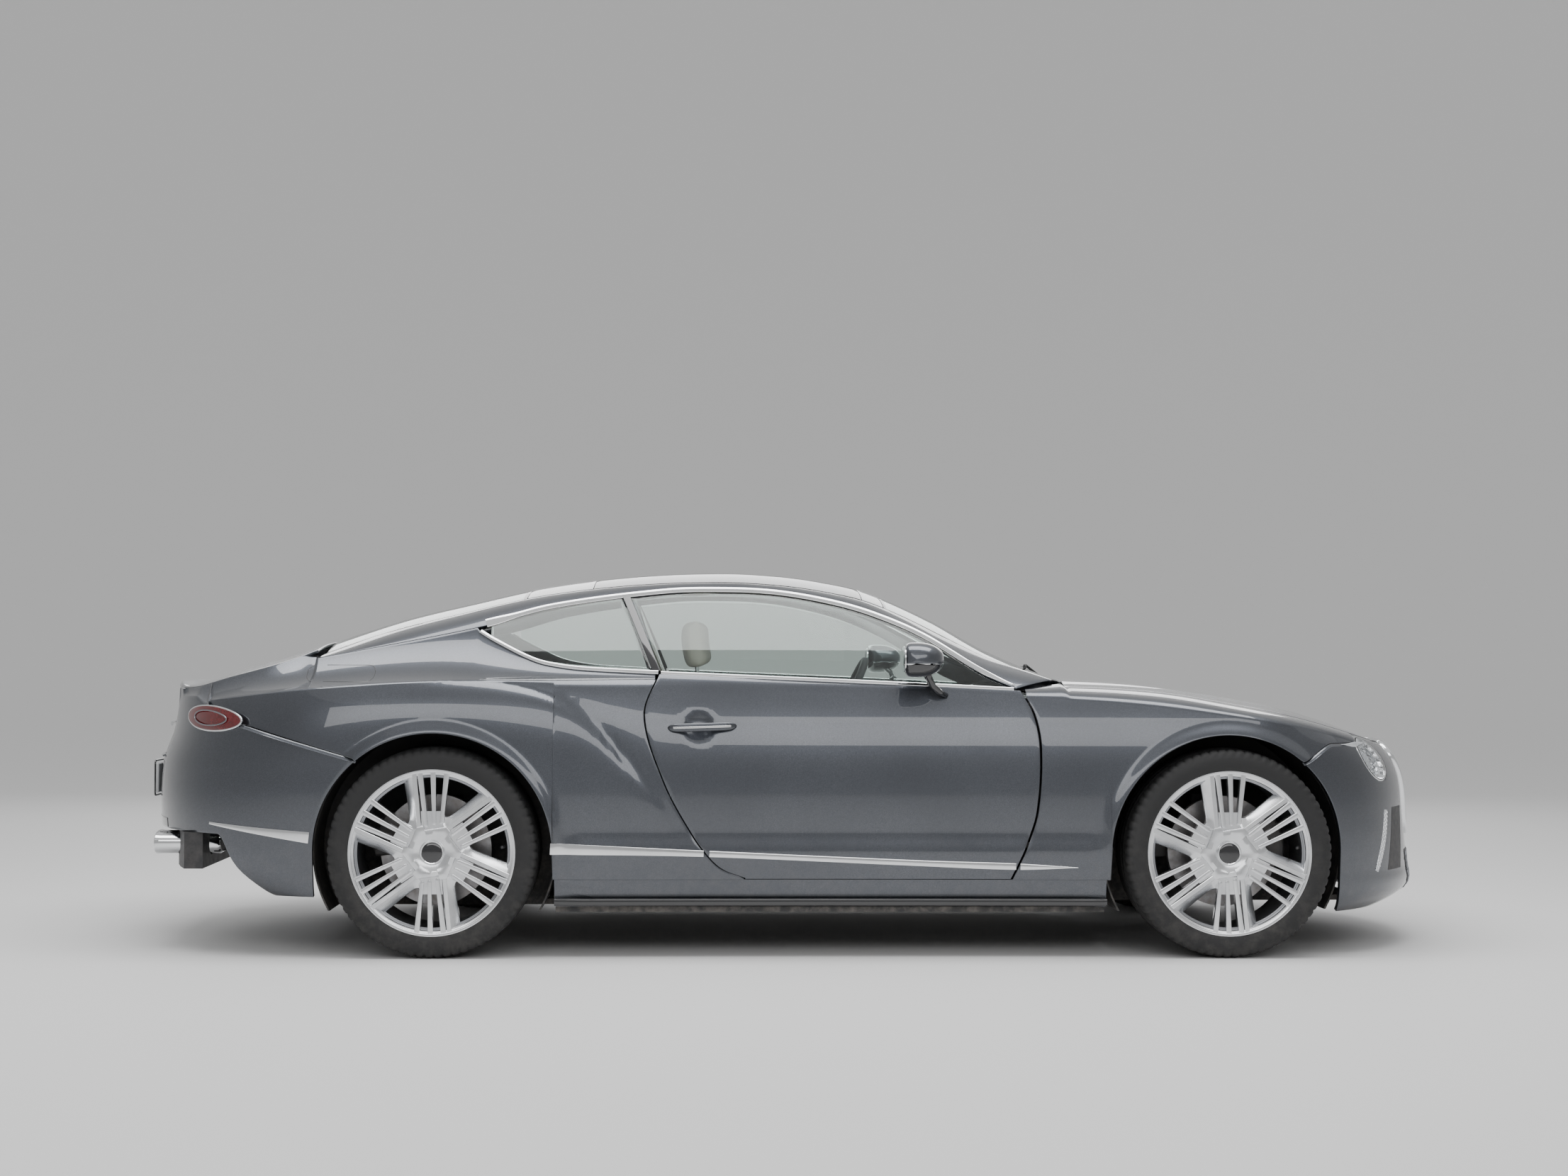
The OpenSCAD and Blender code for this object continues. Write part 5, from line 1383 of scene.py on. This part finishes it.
outline = grilleOutline(6)
cutter = tube(np.stack([np.stack([np.full(len(outline), x), outline[:, 0], outline[:, 1]],
                                 -1) for x in (2120.0, 2500.0)]))
cut(frontBumper, [cutter])
path = grilleOutline(0)
x = faceX(path[:, 0], path[:, 1])
surround = np.stack([x + 1, path[:, 0], path[:, 1]], -1)
addPiece("grilleSurround", [sweep(surround, rounded(20, 24, 7), (1, 0, 0), closed=True)], "chromeTrim",
         crease=50)


def insideGrille(y, z, inset):
    # True inside the trapezium, with its corners rounded
    top, low = ends["grilleTop"] - inset, ends["grilleLow"] + inset
    half = mix(ends["grilleHalfLow"], ends["grilleHalfTop"], (z - low) / (top - low)) - inset
    corner = ends["grilleCorner"]
    dy, dz = np.abs(y) - (half - corner), np.abs(z - (top + low) / 2) - ((top - low) / 2 - corner)
    return np.where((dy > 0) & (dz > 0), np.hypot(dy, dz) < corner, (dy < corner) & (dz < corner))


def lattice(inside, reach, middle, pitch, place, profile):
    # Two families of slanting bars, each kept where it lies inside the outline
    bars = []
    for slant in (-1, 1):
        for k in range(-int(reach / pitch), int(reach / pitch) + 1):
            s = np.linspace(-reach, reach, 160)
            y, z = k * pitch + s * 0.5, middle + slant * s * 0.86
            keep = inside(y, z)
            if keep.sum() > 4:
                y, z = y[keep], z[keep]
                bars.append(sweep(np.stack([place(y, z), y, z], -1)[::3], profile, (1, 0, 0)))
    return bars


bars = lattice(lambda y, z: insideGrille(y, z, 4), 520, 580, ends["meshPitch"], lambda y,
               z: faceX(y, z) - 16, rounded(4.4, 7, 1.6, 1))
vertical = np.linspace(ends["grilleLow"], ends["grilleTop"], 12)
spine = np.stack([faceX(0 * vertical, vertical) - 2, 0 * vertical, vertical], -1)
replaceWith("grilleMesh", bars, "darkChrome", ["grille"])
addPiece("grilleSpine", [sweep(spine, rounded(10, 14, 3), (1, 0, 0))], "chromeTrim", crease=40)


def patch(uv, place, thick):
    # A closed inlay over a grid of (y, z) points, standing off the surface by the place function
    outer, inner = place(uv[..., 0], uv[..., 1], -thick), place(uv[..., 0], uv[..., 1], 1.5)
    rings = np.concatenate([outer, inner[:, ::-1]], 1)
    return tube(rings)


def onNose(y, z, depth):
    # A point on the nose's surface, set in by the depth
    return np.stack([frontX(y, z, depth), y, z], -1)


def spread(y0, y1, z0, z1, rows=14, cols=40, lean=0.0, pinch=0.0):
    # A grid of (y, z) points over a slanting four-cornered area
    v, u = np.linspace(0, 1, rows)[:, None], np.linspace(0, 1, cols)[None, :]
    taper = pinch * (2 * u - 1) * (1 - v)
    return np.stack([mix(y0, y1, u) + lean * v + taper, mix(z0, z1, v) + 0 * u], -1)


addPiece("lowerIntake", [patch(spread(-470, 470, 196, 352, cols=80, pinch=-30), onNose, 1.5)], "moulded",
         crease=40)
inLower = lambda y, z: (z > 202) & (z < 346) & (np.abs(y) < 440 + 28 * (z - 196) / 156)
addPiece("intakeMesh",
         lattice(inLower, 620, 274, 30, lambda y, z: frontX(y, z) + 2.5, rounded(4.4, 4, 1.4, 1)),
         "darkChrome", crease=40)
addPiece("grilleBack",
         [tube(np.concatenate([np.stack([faceX(q[..., 0], q[..., 1]) - 46, q[..., 0], q[..., 1]], -1),
                               np.stack([faceX(q[..., 0], q[..., 1]) - 50, q[..., 0],
                                         q[..., 1]], -1)[:, ::-1]], 1))
          for q in (spread(-442, 442, 402, 738, cols=60),)], "moulded", crease=40)
addBoth("cornerIntake", [patch(spread(560, 684, 292, 522, lean=-46), onNose, 1.3)], "moulded")
t = np.linspace(0, 1, 26)
z = mix(516, 293, t)
x = mix(2188, 2140, t) + 10 * np.sin(np.pi * t)
strip = np.stack([x, frontY(x, z), z], -1)
addBoth("cornerStrip",
        [sweep(strip, rounded(26, 7, 3), (0.55, 0.83, 0),
               columns(0.45 + 0.55 * np.sin(np.pi * np.clip(t, 0.04, 0.96)) ** 0.5, 1 + 0 * t))],
        "pearlLens")
beads = []
for k in range(1, 15):
    for shift in (-6, 0, 6):
        j = np.interp(k / 15 + shift * 0.004, t, np.arange(26))
        centre = mix(strip[int(j)], strip[min(int(j) + 1, 25)], j - int(j))
        beads.append(ball(centre + np.array((0.55 * 3.5 - 0.83 * shift * 1.1,
                                             0.83 * 3.5 + 0.55 * shift * 1.1, 0)), (3.6, 3.6, 4.4), 5, 8))
addBoth("stripCrystals", beads, "chromeTrim")


# headlamps: a clear cover over the hole, a faceted bowl, a ring and a projector
ly, lz = ends["lampCentre"]


def lampPoint(r, a, depth):
    # A point of an oval ring round the headlamp's centre, set back along the lamp's axis
    y, z = ly + r * np.cos(a) * ends["lampOval"], lz + r * np.sin(a)
    return np.stack([frontX(y, z, depth), y - depth * ends["lampToe"], z], -1)


def lampRings(stations, steps=64):
    # A solid of oval rings from (radius, depth) stations
    a = np.linspace(0, 2 * np.pi, steps, endpoint=False)
    return tube(np.stack([lampPoint(r, a, d) for r, d in stations]))


lampR = ends["lampRadius"]
holeRings = np.stack([lampPoint(lampR + 3, np.linspace(0, 2 * np.pi, 48, endpoint=False),
                                d) + (0 if d > 0 else 40, 0, 0) for d in (90, -30)])
cut(frontBumper, bothSides(tube(holeRings)))
share = np.linspace(1.0, 0.02, 14)
outer = [(lampR * k, -ends["lampBulge"] * (1 - k * k) - 1) for k in share]
inner = [(lampR * k * 0.985, -ends["lampBulge"] * (1 - k * k) + 2) for k in share[::-1]]
replaceWith("headlampCovers", bothSides(lampRings(inner + outer)), "lampGlass", ["headlamps"])
full = np.linspace(0, 2 * np.pi, 64, endpoint=False)
rimLine = ((lampR - 2, 6), (lampR + 2.8, 5), (lampR + 2.8, -2), (lampR + 1, -3.4), (lampR - 2, -2))
addBoth("headlampRims", [tube(np.stack([lampPoint(r, full, d) for r, d in rimLine]), closed=True)],
        "chromeTrim")
a = np.linspace(0, 2 * np.pi, 72, endpoint=False)
facets = []
for r, d in ((lampR - 2, 6), (lampR - 3, 22), (58, 46), (44, 56), (40, 62), (40, 74), (lampR - 1, 74),
             (lampR + 1, 40), (lampR + 1, 6)):
    wobble = 1 + (0.05 * np.sign(np.sin(a * 18)) if 20 < d < 60 and r < lampR else 0)
    facets.append(lampPoint(r * wobble, a, d))
addBoth("headlampBowls", [tube(np.stack(facets), closed=True)], "chromeTrim", crease=10)
addBoth("headlampLenses", [lampRings([(36, 66), (38, 52), (34, 40), (24, 33), (10, 30), (1, 29.6)])],
        "pearlLens")
addBoth("headlampRings",
        [tube(np.stack([lampPoint(r, a, d) for r, d in ((58, 30), (62, 28), (62, 22), (58, 22))]),
              closed=True)],
        "pearlLens")
x = np.linspace(1989, 2094, 24)
z = mix(762, 757, np.linspace(0, 1, 24))
addBoth("lampBlades", [sweep(np.stack([x, frontY(x, z) + 1.5, z], -1), rounded(22, 7, 3), (0.3, 0.95, 0),
                             columns(mix(0.12, 1, ease(np.linspace(0, 1, 24) * 1.4)), 1.0))], "pearlLens")
print("front done")

# Rear end: lamps, bumper strips, exhausts, plate
b, a = np.meshgrid(np.linspace(-1, 1, 40), np.linspace(-1, 1, 24), indexing="xy")
u = 0.6 + 0.13 * b * np.sqrt(1 - a * a / 2)
z = 882 - 60 * u + 44 * a * np.sqrt(1 - b * b / 2)
bulge = 5 * (1 - a * a) * (1 - b * b)
lens = tailPoint(u, z, -11 - bulge)
back = tailPoint(u, z, -2.2)
closed = np.concatenate([lens, back[:, ::-1]], 1)
replaceWith("tailLampLenses", bothSides(tube(closed)), "redLens",
            ["tail_lamps"]).data.set_sharp_from_angle(angle=0.7)
edge = np.concatenate([lens[0], lens[1:-1, -1], lens[-1, ::-1], lens[-2:0:-1, 0]])
normal = edge - (edge.mean(0) + np.array((400.0, -260.0, 0)))
normal /= np.linalg.norm(normal, axis=1, keepdims=True)
addBoth("tailLampRims", [sweep(edge - normal * 4, rounded(7, 9, 2.6), normal, closed=True)], "chromeTrim")
edge = lens[lens.shape[0] // 2, lens.shape[1] // 2] + (edge - edge.mean(0)) * 0.6 + normal.mean(0)
addBoth("tailLampBand", [sweep(edge, rounded(5, 3, 1), normal.mean(0), closed=True)], "darkChrome")

x = np.linspace(-2112, -1737, 40)
t = np.linspace(0, 1, 40)
z = mix(470, 427, t)
addBoth("rearStrip", [sweep(np.stack([x, rearY(x, z) + 1.5, z], -1), rounded(2, 7, 0.9), (-0.35, 0.93, 0),
                            columns(mix(4, 20, t), 1.0))],
        "chromeTrim")


def onTail(y, z, depth):
    # A point on the tail's surface, set in by the depth
    return np.stack([rearX(y, z, depth), y, z], -1)


plateX = rearX(0.0, np.array(ends["plateHeight"]))
addPiece("rearPlate", [block((plateX - 10, -262, 545), (plateX + 2, 262, 658), 5, axis=0)],
         "plateWhite", crease=35)
addPiece("rearPlateFrame",
         [sweep(np.array([(plateX - 9.0, y, 601.5 + zz) for y, zz in rounded(544, 132, 12, 4)]),
                rounded(8, 6, 2), (-1, 0, 0), closed=True)],
         "glossBlack", crease=40)
addPiece("lowerRearInlay", [patch(spread(-560, 560, 436, 470, cols=90), onTail, 1.3)], "glossBlack")
z = 812.0
bootBar = np.array([(float(tailX(np.array(y), np.array(z))) - 9, y, z) for y in np.linspace(-330, 330, 40)])
addPiece("bootBar", [sweep(bootBar, rounded(16, 8, 3), (-1, 0, 0))], "chromeTrim", "boot_lid", crease=40)


# exhaust tips: an oval sleeve a side, with a partition in it and a dark plug at its inner end as painted
# shade
def pipeRings(stations, power=0.8):
    # A sleeve of squared ovals round the exhaust's centre, from (x, width, height) stations
    rings = []
    for at, width, height in stations:
        o = oval(width, height, 48, power)
        rings.append(np.stack([np.full(48, at), ends["pipe"][0] + o[:, 0], ends["pipe"][1] + o[:, 1]], -1))
    return tube(np.stack(rings), closed=True)


replaceWith("exhaustTips",
            bothSides(pipeRings(((-2120, 172, 82), (-2330, 174, 84), (-2349, 178, 88), (-2352, 174, 84),
                                 (-2350, 166, 76), (-2330, 160, 70), (-2110, 156, 66)))),
            "chromeTrim", ["exhaust_tips"]).data.set_sharp_from_angle(angle=0.7)
addBoth("exhaustPartition", [block((-2335, 556, 350), (-2130, 564, 414), 2)], "darkChrome")
# a black block closes each tip's inner end: painted shade for the dark inside of the pipe
addBoth("exhaustPaintedShade", [block((-2140, 486, 350), (-2112, 634, 414), 8)], "moulded")
print("rear done")


# Cabin: padded seats, fascia, door linings, hinges
seat = {"frontY": 385.0, "frontHalf": 250.0, "rearY": 290.0, "rearHalf": 250.0, "flute": 42.0,
        "fluteDepth": 8.0, "bolster": 26.0, "roundness": 2.8, "baseThick": 58.0, "backThick": 50.0,
        "headThick": 52.0, "rearBaseThick": 52.0, "rearBackThick": 48.0, "ventHeight": 758.0,
        "dialHeight": 852.0}


def cushion(path, thick, half, middle, bolster=0.0, flutes=True, rows=46, steps=64):
    # A crowned pad along a path in the x-z plane: superellipse sections that draw in towards both ends,
    # with raised bolsters at the sides and sewn flutes between them
    path = np.asarray(path, float)
    t = np.linspace(0, 1, rows)
    at = np.linspace(0, 1, len(path))
    x = curve(np.stack([at, path[:, 0]], 1), t)
    z = curve(np.stack([at, path[:, 1]], 1), t)
    ahead = np.stack([np.gradient(x), np.gradient(z)], 1)
    ahead /= np.linalg.norm(ahead, axis=1, keepdims=True)
    out = np.stack([-ahead[:, 1], ahead[:, 0]], 1)
    swell = np.maximum(1 - np.abs(2 * t - 1) ** 6, 0.0) ** 0.5 * 0.94 + 0.06
    side01 = np.maximum(1 - np.abs(2 * t - 1) ** 9, 0.0) ** 0.5 * 0.12 + 0.88
    a = np.linspace(0, 2 * np.pi, steps, endpoint=False)[None, :]
    n = 2 / seat["roundness"]
    y = np.sign(np.cos(a)) * np.abs(np.cos(a)) ** n
    h = np.sign(np.sin(a)) * np.abs(np.sin(a)) ** n
    width = half * side01[:, None] * y
    face = np.maximum(h, 0) ** 2
    height = thick * swell[:, None] * h * (1 - 0.10 * np.abs(y) ** 2)
    middlePart = (ease((0.62 - np.abs(width) / half) / 0.05) * ease((t[:, None] - 0.10) / 0.05)
                  * ease((0.90 - t[:, None]) / 0.05))
    if flutes:
        wave = np.abs(np.sin(np.pi * (width / seat["flute"] + 0.5)))
        height = height - face * middlePart * seat["fluteDepth"] * (1 - wave) ** 2 * 1.6
    height = height + face * bolster * np.exp(-((np.abs(width) / half - 0.80) / 0.13) ** 2) * swell[:, None]
    edge = np.exp(-((np.abs(width) / half - 0.64) / 0.02) ** 2) * ease((t[:, None] - 0.05) / 0.05)
    height = height - face * edge * 4 * bool(flutes)
    return tube(np.stack([x[:, None] + out[:, :1] * height, middle + width,
                          z[:, None] + out[:, 1:] * height], -1))


def seam(path, half, middle):
    # A piped seam round the side of a pad
    t = np.linspace(0.06, 0.94, 40)
    at = np.linspace(0, 1, len(path))
    path = np.asarray(path, float)
    x, z = curve(np.stack([at, path[:, 0]], 1), t), curve(np.stack([at, path[:, 1]], 1), t)
    return [rodAlong(np.stack([x, middle + s * half * (0.996 + 0 * x), z], -1), 3.0) for s in (-1, 1)]


def roundPart(stations, y, z, closed=False):
    # Rings of (x, radius) round a centre on the fascia, facing the cabin
    a = np.linspace(0, 2 * np.pi, 32, endpoint=False)
    return tube([np.stack([np.full(32, x), y + r * np.cos(a), z + r * np.sin(a)], -1) for x, r in stations],
                closed)


def rodAlong(path, radius, steps=10):
    # A round cord along a path
    return sweep(path, oval(2 * radius, 2 * radius, steps),
                 (0.01, 0.02, 1) if abs(path[-1][2] - path[0][2]) < 300 else (1, 0.02, 0))


frontBase = ((-175, 412), (-60, 416), (80, 424), (200, 432), (292, 430))
frontBack = ((-190, 432), (-235, 560), (-290, 700), (-330, 850), (-358, 985))
head = ((-352, 1036), (-366, 1085), (-374, 1140), (-372, 1205))
rearBase = ((-940, 468), (-840, 470), (-700, 478), (-590, 476))
rearBack = ((-925, 470), (-965, 590), (-1000, 690), (-1022, 760))
pads, piping, hard, posts = [], [], [], []
for s in (1, -1):
    y = s * seat["frontY"]
    half = seat["frontHalf"]
    pads += [cushion(frontBase, seat["baseThick"], half, y, seat["bolster"]),
             cushion(frontBack[::-1], seat["backThick"], half * 0.97, y, seat["bolster"])]
    pads.append(cushion(head[::-1], seat["headThick"], 122, y, 0, False, 36, 48))
    piping += seam(frontBase, half, y) + seam(frontBack, half * 0.97, y)
    hard.append(block((-150, y - 205, 196), (262, y + 205, 368), 16, axis=1))
    hard.append(block((-140, y - 222, 182), (250, y - 196, 214), 5, axis=0))
    hard.append(block((-140, y + 196, 182), (250, y + 222, 214), 5, axis=0))
    posts += [rod((-362, y + k * 58, 950), (-370, y + k * 58, 1070), 6) for k in (-1, 1)]
    posts.append(block((-120, y + s * 252, 392), (60, y + s * 256, 408), 1.5, axis=0))
rearPads = []
for s in (1, -1):
    y, half = s * seat["rearY"], seat["rearHalf"]
    rearPads += [cushion(rearBase, seat["rearBaseThick"], half, y, 12),
                 cushion(rearBack[::-1], seat["rearBackThick"], half, y, 12)]
    piping += seam(rearBase, half, y)
    hard.append(block((-1118, y - 245, 300), (-1035, y + 245, 700), 20, axis=1))
    hard.append(block((-930, y - 245, 300), (-610, y + 245, 420), 12, axis=1))
frontPads = replaceWith("frontSeatPads", pads, "creamLeather", ["front_seats"])
backPads = replaceWith("rearSeatPads", rearPads, "creamLeather", ["rear_seats"])
addPiece("seatPiping", piping, "darkLeather")
addPiece("seatBases", hard, "moulded", crease=40)
addPiece("headrestPosts", posts, "chromeTrim", crease=40)

# fascia: veneer band, screen, binnacle and round vents
veneer = [block((546, -728, 704), (561, 728, 812), 5, axis=1)]
addPiece("fasciaVeneer", veneer, "walnut", crease=40)
addPiece("fasciaScreen", [block((541, -150, 715), (547, 150, 802), 2, axis=1)], "glossBlack", crease=40)
addPiece("fasciaLine",
         [block((543, -728, 697), (562, 728, 703), 1.5, axis=1),
          block((543, -728, 813), (562, 728, 817), 1.2, axis=1)],
         "chromeTrim", crease=40)
vents, ventDark = [], []
for y in (-640, -225, 225, 640):
    vents.append(roundPart(((545, 38), (538, 38), (536, 36), (538, 32), (545, 32)), y, seat["ventHeight"],
                           True))
    vents.append(block((538, y - 31, 756), (544, y + 31, 760), 1, axis=1))
    ventDark.append(roundPart(((546, 33), (542, 33)), y, seat["ventHeight"]))
addPiece("ventRings", vents, "chromeTrim", crease=40)
addPiece("ventGrilles", ventDark, "moulded", crease=40)
addPiece("binnacle", [block((560, 260, 815), (665, 512, 892), 26, axis=0)], "darkLeather", crease=50)
addPiece("dials", [roundPart(((562, 34), (556, 34), (555, 31), (558, 30)), y,
                             seat["dialHeight"]) for y in (330, 442)],
         "chromeTrim", crease=40)
addPiece("consoleVeneer", [block((-420, -70, 519), (280, 70, 525), 2.5, axis=0)], "walnut", crease=40)
addPiece("gearSelector", [rod((120, 0, 524), (112, 0, 575), 9), ball((110, 0, 590), (26, 24, 24))],
         "darkLeather")
addPiece("armrest", [cushion(((-440, 538), (-300, 545), (-180, 540)), 26, 84, 0, 0, False, 30, 40)],
         "creamLeather")
addPiece("floorMats", [block((-20, y - 220, 181), (640, y + 220, 190), 4, axis=1) for y in (-385, 385)] +
         [block((-560, y - 220, 181), (-200, y + 220, 190), 4, axis=1) for y in (-385, 385)], "carpet")

# door linings fill the door from its skin to the cabin, with an armrest, a veneer strip and a pull
u, v = np.linspace(0, 1, 44)[None, :], np.linspace(0, 1, 30)[:, None]
z = mix(body["sillTop"] + 8, curve("belt", mix(-498, 800, u)) - 12, v)
x = mix(curve("doorRear", z) + 9, curve("doorFront", z) - 46 * ease((z - 300) / 100) - 8, u)
lining = np.concatenate([np.stack([x, side(x, z) - 37, z], -1),
                         np.stack([x, 772 + 10 * ease((0.06 - v) / 0.06) + 0 * x, z], -1)[:, ::-1]], 1)
addBoth("doorLining", [tube(lining)], "darkLeather", doorBodies, 40)
addBoth("doorArmrest", [cushion(((-330, 640), (-60, 652), (240, 664)), 30, 26, 754, 0, False, 40, 40)],
        "creamLeather", doorBodies)
addBoth("doorVeneer", [block((-380, 766, 760), (560, 771, 806), 2.5, axis=0)], "walnut", doorBodies)
addBoth("doorPull", [rod((120, 758, 706), (300, 758, 712), 7, 12)], "chromeTrim", doorBodies)
straps = []
for hy, hz in ((864, 900), (905, 400)):
    straps.append(rod((848, hy, hz - 16), (848, hy, hz + 16), 7.5))
    straps.append(block((770, hy - 16, hz - 11), (846, hy - 5, hz + 11), 3, axis=0))
addBoth("doorHinges", straps, "castMetal", doorBodies)
addPiece("bonnetHinges",
         sum([bothSides(p) for p in (rod((1030, 552, 943), (1030, 568, 943), 9),
                                     block((1026, 554, 941), (1100, 566, 962), 3, axis=0))], []),
         "castMetal", "bonnet", crease=40)
addPiece("bootHinges", sum([bothSides(p) for p in (rod((-1786, 512, 1064), (-1786, 528, 1064), 9),)], []),
         "castMetal", "boot_lid", crease=40)
print("cabin done")

# What is left of the frame's nodes keeps its shape and gets a finish of its own
kept = {"carPaint": ("side_sills",), "underBody": ("floor_pan", "wheel_arch_liners"),
        "moulded": ("bulkheads", "rear_diffuser"),
        "darkLeather": ("dashboard", "centre_console", "steering_wheel"),
        "castMetal": ("engine", "front_subframe", "rear_axle", "knuckle_left", "knuckle_right")}
for finishName, names in kept.items():
    for name in names:
        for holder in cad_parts[name].material_slots:
            holder.material = made[finishName]
x = np.linspace(-868, 1112, 60)
addBoth("sillBlade", [sweep(np.stack([x, side(x, 0 * x + 230) - 6, 0 * x + 197], -1), rounded(26, 26, 6),
                            (0, 0, 1))], "glossBlack")
print("finishes set")


# Floor, light and camera
stage = {"floorTone": 0.72, "skyTone": 0.88, "skyPower": 0.85, "keyPower": 380.0, "lens": 54.04,
         "eye": (-0.32489, -9.37, 1.09038), "yaw": 0.03221, "pitch": 0.02739, "roll": 0.00377}

floorMesh = bpy.data.meshes.new("studioFloor")
n = 64
fx, fy = np.meshgrid(np.linspace(-60, 60, n), np.linspace(-60, 60, n), indexing="ij")
away = np.maximum(np.hypot(fx, fy) - 24, 0)
rise = 30 * (away / 35) ** 2
floorMesh.from_pydata(np.stack([fx, fy, rise], -1).reshape(-1, 3).tolist(), [], gridFaces(n, n).tolist())
floorMesh.polygons.foreach_set("use_smooth", np.full(len(floorMesh.polygons), True))
studioFloor = bpy.data.objects.new("studioFloor", floorMesh)
bpy.context.scene.collection.objects.link(studioFloor)
paleFloor = bpy.data.materials.new("paleFloor")
paleFloor.use_nodes = True
tone = stage["floorTone"]
paleFloor.node_tree.nodes["Principled BSDF"].inputs["Base Color"].default_value = (tone, tone, tone, 1)
paleFloor.node_tree.nodes["Principled BSDF"].inputs["Roughness"].default_value = 0.7
floorMesh.materials.append(paleFloor)

world = bpy.data.worlds.new("studioAir")
world.use_nodes = True
world.node_tree.nodes["Background"].inputs["Color"].default_value = (*[stage["skyTone"]] * 3, 1)
world.node_tree.nodes["Background"].inputs["Strength"].default_value = stage["skyPower"]
bpy.context.scene.world = world


def softLight(name, power, size, place, aim):
    # An area light at a place, turned to an aim
    lamp = bpy.data.lights.new(name, "AREA")
    lamp.energy, lamp.shape, lamp.size, lamp.size_y = power, "RECTANGLE", size[0], size[1]
    light = bpy.data.objects.new(name, lamp)
    bpy.context.scene.collection.objects.link(light)
    light.location = place
    light.rotation_euler = (Vector(aim) - Vector(place)).to_track_quat("-Z", "Y").to_euler()


softLight("overheadSoftbox", stage["keyPower"], (7.0, 3.0), (0.0, -1.0, 5.5), (0.0, 0.0, 0.4))
softLight("nearSideSoftbox", 160, (9.0, 2.2), (0.0, -7.5, 3.6), (0.0, 0.0, 0.8))
softLight("farSideSoftbox", 160, (9.0, 2.2), (0.0, 7.5, 3.6), (0.0, 0.0, 0.8))

camera = bpy.data.cameras.new("viewCamera")
camera.lens, camera.sensor_width, camera.sensor_fit = stage["lens"], 36.0, "HORIZONTAL"
cameraObject = bpy.data.objects.new("viewCamera", camera)
bpy.context.scene.collection.objects.link(cameraObject)
yaw, pitch, roll = stage["yaw"], stage["pitch"], stage["roll"]
forward = Vector((math.sin(yaw) * math.cos(pitch), math.cos(yaw) * math.cos(pitch), math.sin(pitch)))
right = forward.cross(Vector((0, 0, 1))).normalized()
up = right.cross(forward)
right, up = right * math.cos(roll) + up * math.sin(roll), up * math.cos(roll) - right * math.sin(roll)
cameraObject.matrix_world = Matrix((
    (right.x, up.x, -forward.x, stage["eye"][0]), (right.y, up.y, -forward.y, stage["eye"][1]),
    (right.z, up.z, -forward.z, stage["eye"][2]), (0, 0, 0, 1)))
bpy.context.scene.camera = cameraObject
